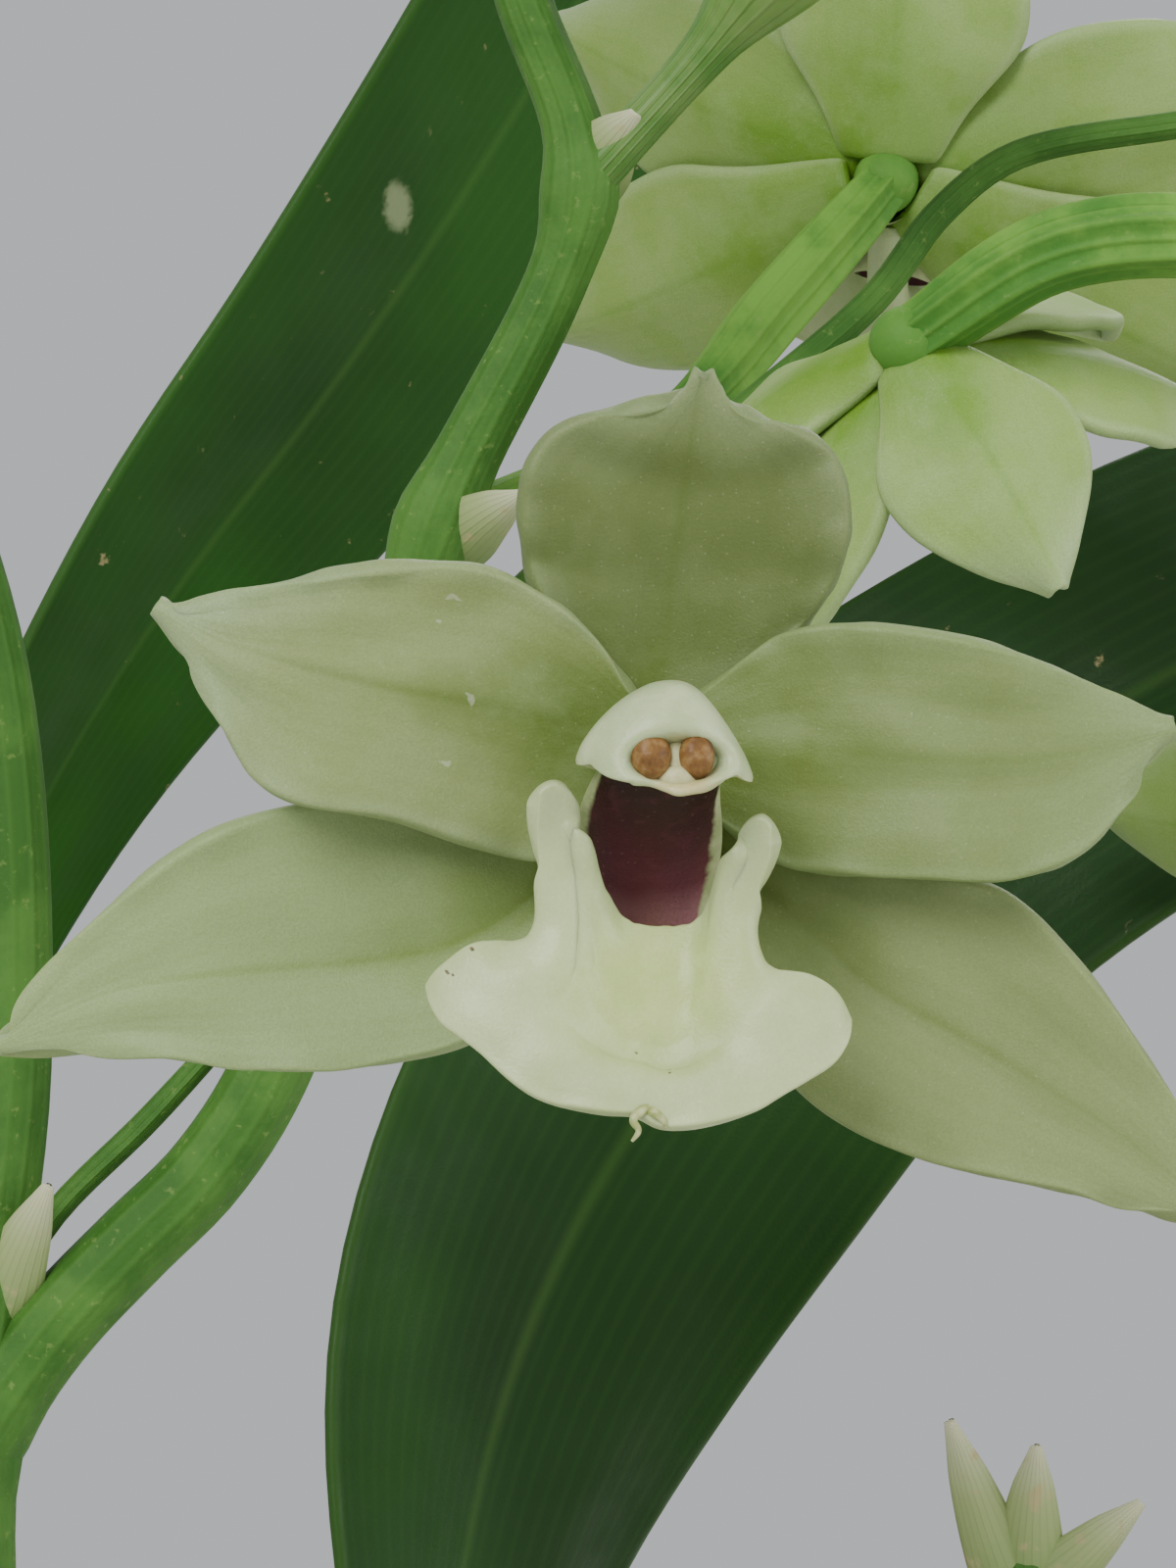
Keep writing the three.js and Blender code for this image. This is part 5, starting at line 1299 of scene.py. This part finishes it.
lip_top, lip_left, lip_right, lip_foot = (course(line) for line in (LIP_TOP, LIP_LEFT, LIP_RIGHT, LIP_FOOT))
bm = bmesh.new()
for vert in mapped_grid(bm, 84, 74):
    u, t = (vert.co.x + 1) / 2, (vert.co.y + 1) / 2
    here = lip_top(u) * (1 - t) + lip_foot(u) * t + lip_left(t) * (1 - u) + lip_right(t) * u
    here -= (lip_top(0) * (1 - u) + lip_top(1) * u) * (1 - t) + (lip_foot(0) * (1 - u) + lip_foot(1) * u) * t
    px, py, depth = here
    for keel in KEELS:
        off, share = off_line(px, py, keel)
        depth -= (0.5 - 0.38 * share) * math.exp(-((off / (10 + 7 * share)) ** 2)) * (1 - share**4)
    cushion = math.hypot((px - 668) / 74, (py - 1012) / 52)
    depth -= 0.34 * math.exp(-(cushion**2))
    belly = math.sin(math.pi * min(max(2 * t - 0.9, 0), 1)) * (1 - (2 * u - 1) ** 2)
    depth -= 0.2 * belly
    beside = abs(2 * u - 1)
    depth -= 0.3 * max(0, 1 - 2.4 * t) * beside**6
    depth += 0.3 * math.exp(-(((beside - 0.72) / 0.16) ** 2)) * max(0, 1 - 2.0 * t) * min(t * 8, 1)
    depth -= 0.16 * t**3 * noise.noise(Vector((9 * u, 3, 1)))
    depth -= 0.1 * noise.noise(Vector((px / 60, py / 60, 4)))
    if 0.28 < u < 0.74 and t < 0.09:
        py += 3.0 * (1 - t / 0.09) * noise.noise(Vector((px / 6, 2, 0)))
    vert.co = seen(px, py, depth)
claw = [NEAR_FLOWER + Vector(p) for p in ((-0.1, -0.6, -1.8), (-0.2, -0.5, -4.5), (-0.3, -3.0, -5.3))]
tube(bm, claw, lambda share, angle: 0.5, 14, 20)

lip_skin, tree, shader = new_finish("lip_skin", 0.4, 0.5)
place = in_mm(tree)
near_place = vector_of(tree, "SUBTRACT", place, NEAR_FLOWER)
flat_place = vector_of(tree, "MULTIPLY", near_place, (1, 0, 1.3))
from_cushion = vector_of(tree, "DISTANCE", flat_place, (-0.1, 0, -7.2))
cream = mixed(tree, patches(tree, place, 2.2), tone(180, 196, 138), tone(192, 206, 150))
yellow = mixed(tree, patches(tree, place, 1.0), tone(184, 202, 118), tone(194, 210, 132))
skin = mixed(tree, fitted(tree, from_cushion, 3.6, 0.8, 0.0, 0.9), cream, yellow)
height = part_of(tree, near_place, "Z")
skin = mixed(tree, fitted(tree, height, -3.6, -1.0, 0.0, 0.6), skin, tone(172, 186, 138))
map_place = map_of(tree)
lined = veins(tree, map_place, 14.0, 0.06, 0.5)
skin = mixed(tree, times(tree, lined, 0.04), skin, tone(178, 186, 128))
grain, glitter = cells_of(tree, place, 0.1)
skin = mixed(tree, fitted(tree, grain, 0.35, 0.65, 0.0, 0.14), skin, tone(164, 168, 120))
specks = marks_at(tree, place, [
    (seen(480, 968, -4.6), (0.07, 1, 0.06)), (seen(458, 995, -4.6), (0.05, 1, 0.05)),
    (seen(652, 1077, -5.6), (0.06, 1, 0.05)), (seen(684, 1095, -5.7), (0.05, 1, 0.06)),
])
skin = mixed(tree, specks, skin, tone(96, 84, 48))
# Painted glints: near-white points on single cells, standing for light that catches them
painted(tree, shader, mixed(tree, times(tree, glitter, 0.12), skin, tone(238, 240, 220)))
fleshy(shader, 0.3)
shader.inputs["Subsurface Radius"].default_value = (1.0, 0.95, 0.6)
raised(tree, shader, grain, 0.03, 0.5)
lip = finished("near_lip", bm, lip_skin)
thickened(lip, 0.5)
softened(lip)
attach(lip, "root")
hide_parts("near_flower_lip")

# Lip hooks: two tiny points that curl down from the middle of the lip's lower edge.
# They are greenish, round and drawn out thin.
LIP_HOOKS = [
    [(664, 1130, -5.75), (652, 1136, -6.1), (646, 1144, -6.2), (652, 1154, -6.25), (645, 1165, -6.2)],
    [(660, 1134, -5.75), (670, 1137, -6.1), (677, 1144, -6.1), (680, 1152, -6.0)],
]
hook_skin, tree, shader = new_finish("hook_skin", 0.5, 0.4)
place = in_mm(tree)
skin = mixed(tree, patches(tree, place, 0.3), tone(150, 160, 92), tone(190, 196, 140))
painted(tree, shader, skin)
bm = bmesh.new()
for hook in LIP_HOOKS:
    tube(bm, [seen(*point) for point in hook], lambda share, angle: 0.15 - 0.11 * share**2, 20, 12)
hooks = finished("near_lip_hooks", bm, hook_skin)
softened(hooks)
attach(hooks, "root")
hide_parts("near_flower_lip")

# Other flowers: the same kind, each turned its own way on its stalk, three of them facing backward.
# Their tepals are drawn one by one, and each lip, column, cap and pollinia follows the near flower's.
TEPAL_LENGTH = 15
COPY_SHARE = 0.3
TEPAL_WIDTHS = [
    (0, 0.36), (0.16, 0.6), (0.36, 0.98), (0.54, 1), (0.72, 0.8), (0.87, 0.42), (0.96, 0.14), (1, 0.03),
]
TEPAL_PLAN = [
    (90, 0.78, 4.1, 0.3), (168, 0.95, 3.5, -0.4), (12, 0.95, 3.5, -0.4), (214, 1.15, 3.6, 0.5),
    (326, 1.15, 3.6, 0.5),
]
tepal_backs = tepal_finish("tepal_back_skin", tone(104, 146, 34), tone(140, 170, 84), tone(164, 186, 130))
tepal_fronts = tepal_finish("tepal_front_skin", tone(94, 112, 36), tone(130, 148, 88), tone(144, 162, 112))
for flower in FLOWERS:
    size = flower.get("size", 1)
    inner = flower.get("inner", size)
    forward = Vector(flower["facing"]).normalized()
    right = Vector(flower["up"]).cross(forward).normalized()
    above = forward.cross(right)
    turned = Matrix((right, -forward, above)).transposed()
    bm = bmesh.new()
    bmesh.ops.create_uvsphere(bm, u_segments=24, v_segments=14, radius=HUB_RADIUS * 0.62)
    bmesh.ops.translate(bm, vec=flower["at"], verts=bm.verts)
    knob = finished(f"{flower['name']}_flower_base", bm, ovary_skin)
    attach(knob, "root")
    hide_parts(f"flower_{flower['name']}_tepals")
    bm = bmesh.new()
    for k, (angle, length, broad, layer) in enumerate(TEPAL_PLAN):
        ahead = Vector((math.cos(math.radians(angle)), 0, math.sin(math.radians(angle))))
        spread = math.radians(flower["open"])
        spine = []
        for q in (0.06, 0.35, 0.65, 0.88, 1):
            reach = q * length * TEPAL_LENGTH * size
            lean = spread - 0.25 * q
            spine.append(ahead * reach * math.sin(lean) + Vector((0, layer - reach * math.cos(lean), 0)))
        inside = -ahead * math.cos(spread) - Vector((0, math.sin(spread), 0))
        widths = [(t, part * broad * size, part * broad * size) for t, part in TEPAL_WIDTHS]
        seed = Vector((0, k * 3.1, forward.x * 9))

        def tepal_relief(t, s, width):
            wave = 0.5 * s * s * noise.noise(Vector((6 * t, 1.5 * s, 0)) + seed)
            return (0.7 * s * s + wave) * size - 0.3 * math.exp(-((s / 0.3) ** 2)) * math.sin(math.pi * t)

        blade(bm, spine, [(0, *inside), (1, *inside)], widths, tepal_relief, 24, 12)
    bmesh.ops.rotate(bm, cent=(0, 0, 0), matrix=turned, verts=bm.verts)
    bmesh.ops.translate(bm, vec=flower["at"], verts=bm.verts)
    away = flower["name"] in ("behind", "right", "hanging")
    piece = finished(f"{flower['name']}_tepals", bm, tepal_backs if away else tepal_fronts)
    thickened(piece, 0.55)
    softened(piece)
    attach(piece, "root")
    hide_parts(f"flower_{flower['name']}_tepals")
    shrunk = Matrix.Scale(inner, 4)
    moved = Matrix.Translation(Vector(flower["at"]) * MM) @ turned.to_4x4() @ shrunk
    moved = moved @ Matrix.Translation(-NEAR_FLOWER * MM)
    for source, slot_name, node in (
        (column, "column", "column"), (cap, "cap", "column"),
        (pollinia, "pollinia", "column"), (lip, "lip", "lip"),
    ):
        piece = source.copy()
        piece.data = source.data.copy()
        piece.name = f"{flower['name']}_{source.name.removeprefix('near_')}"
        piece.data.transform(moved)
        bpy.context.scene.collection.objects.link(piece)
        piece.modifiers.remove(piece.modifiers["smooth"])
        if "thickness" in piece.modifiers:
            piece.modifiers["thickness"].thickness *= inner
        fewer = piece.modifiers.new("fewer", "DECIMATE")
        fewer.ratio = COPY_SHARE
        applied(piece)
        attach(piece, "root")
        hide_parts(f"flower_{flower['name']}_{node}")

# Floor and light: a plain pale floor, three soft lamps in front, beside and behind,
# and an even pale surround.
FLOOR_RADIUS = 1500
SURROUND = (0.8, 0.82, 0.84, 1)
SURROUND_STRENGTH = 0.66
LAMP_AIM = Vector((0, 0, 0.26))
LAMPS = [
    ("front_lamp", (-0.35, -0.75, 0.85), 0.5, 9.0),
    ("side_lamp", (0.75, -0.35, 0.55), 0.6, 4.0),
    ("back_lamp", (0.2, 0.8, 0.9), 0.6, 5.0),
]
bm = bmesh.new()
bmesh.ops.create_circle(bm, cap_ends=True, segments=96, radius=FLOOR_RADIUS)
floor_paint, tree, shader = new_finish("floor_paint", 0.8, 0.2)
place = in_mm(tree)
painted(tree, shader, mixed(tree, patches(tree, place, 60), tone(214, 214, 210), tone(220, 220, 216)))
floor = finished("floor", bm, floor_paint)

world = bpy.data.worlds.new("surround")
bpy.context.scene.world = world
world.use_nodes = True
background = world.node_tree.nodes["Background"].inputs
background["Color"].default_value = SURROUND
background["Strength"].default_value = SURROUND_STRENGTH
for name, where, size, power in LAMPS:
    lamp_data = bpy.data.lights.new(name, "AREA")
    lamp_data.size = size
    lamp_data.energy = power
    lamp = bpy.data.objects.new(name, lamp_data)
    lamp.location = where
    lamp.rotation_euler = (LAMP_AIM - Vector(where)).to_track_quat("-Z", "Y").to_euler()
    bpy.context.scene.collection.objects.link(lamp)
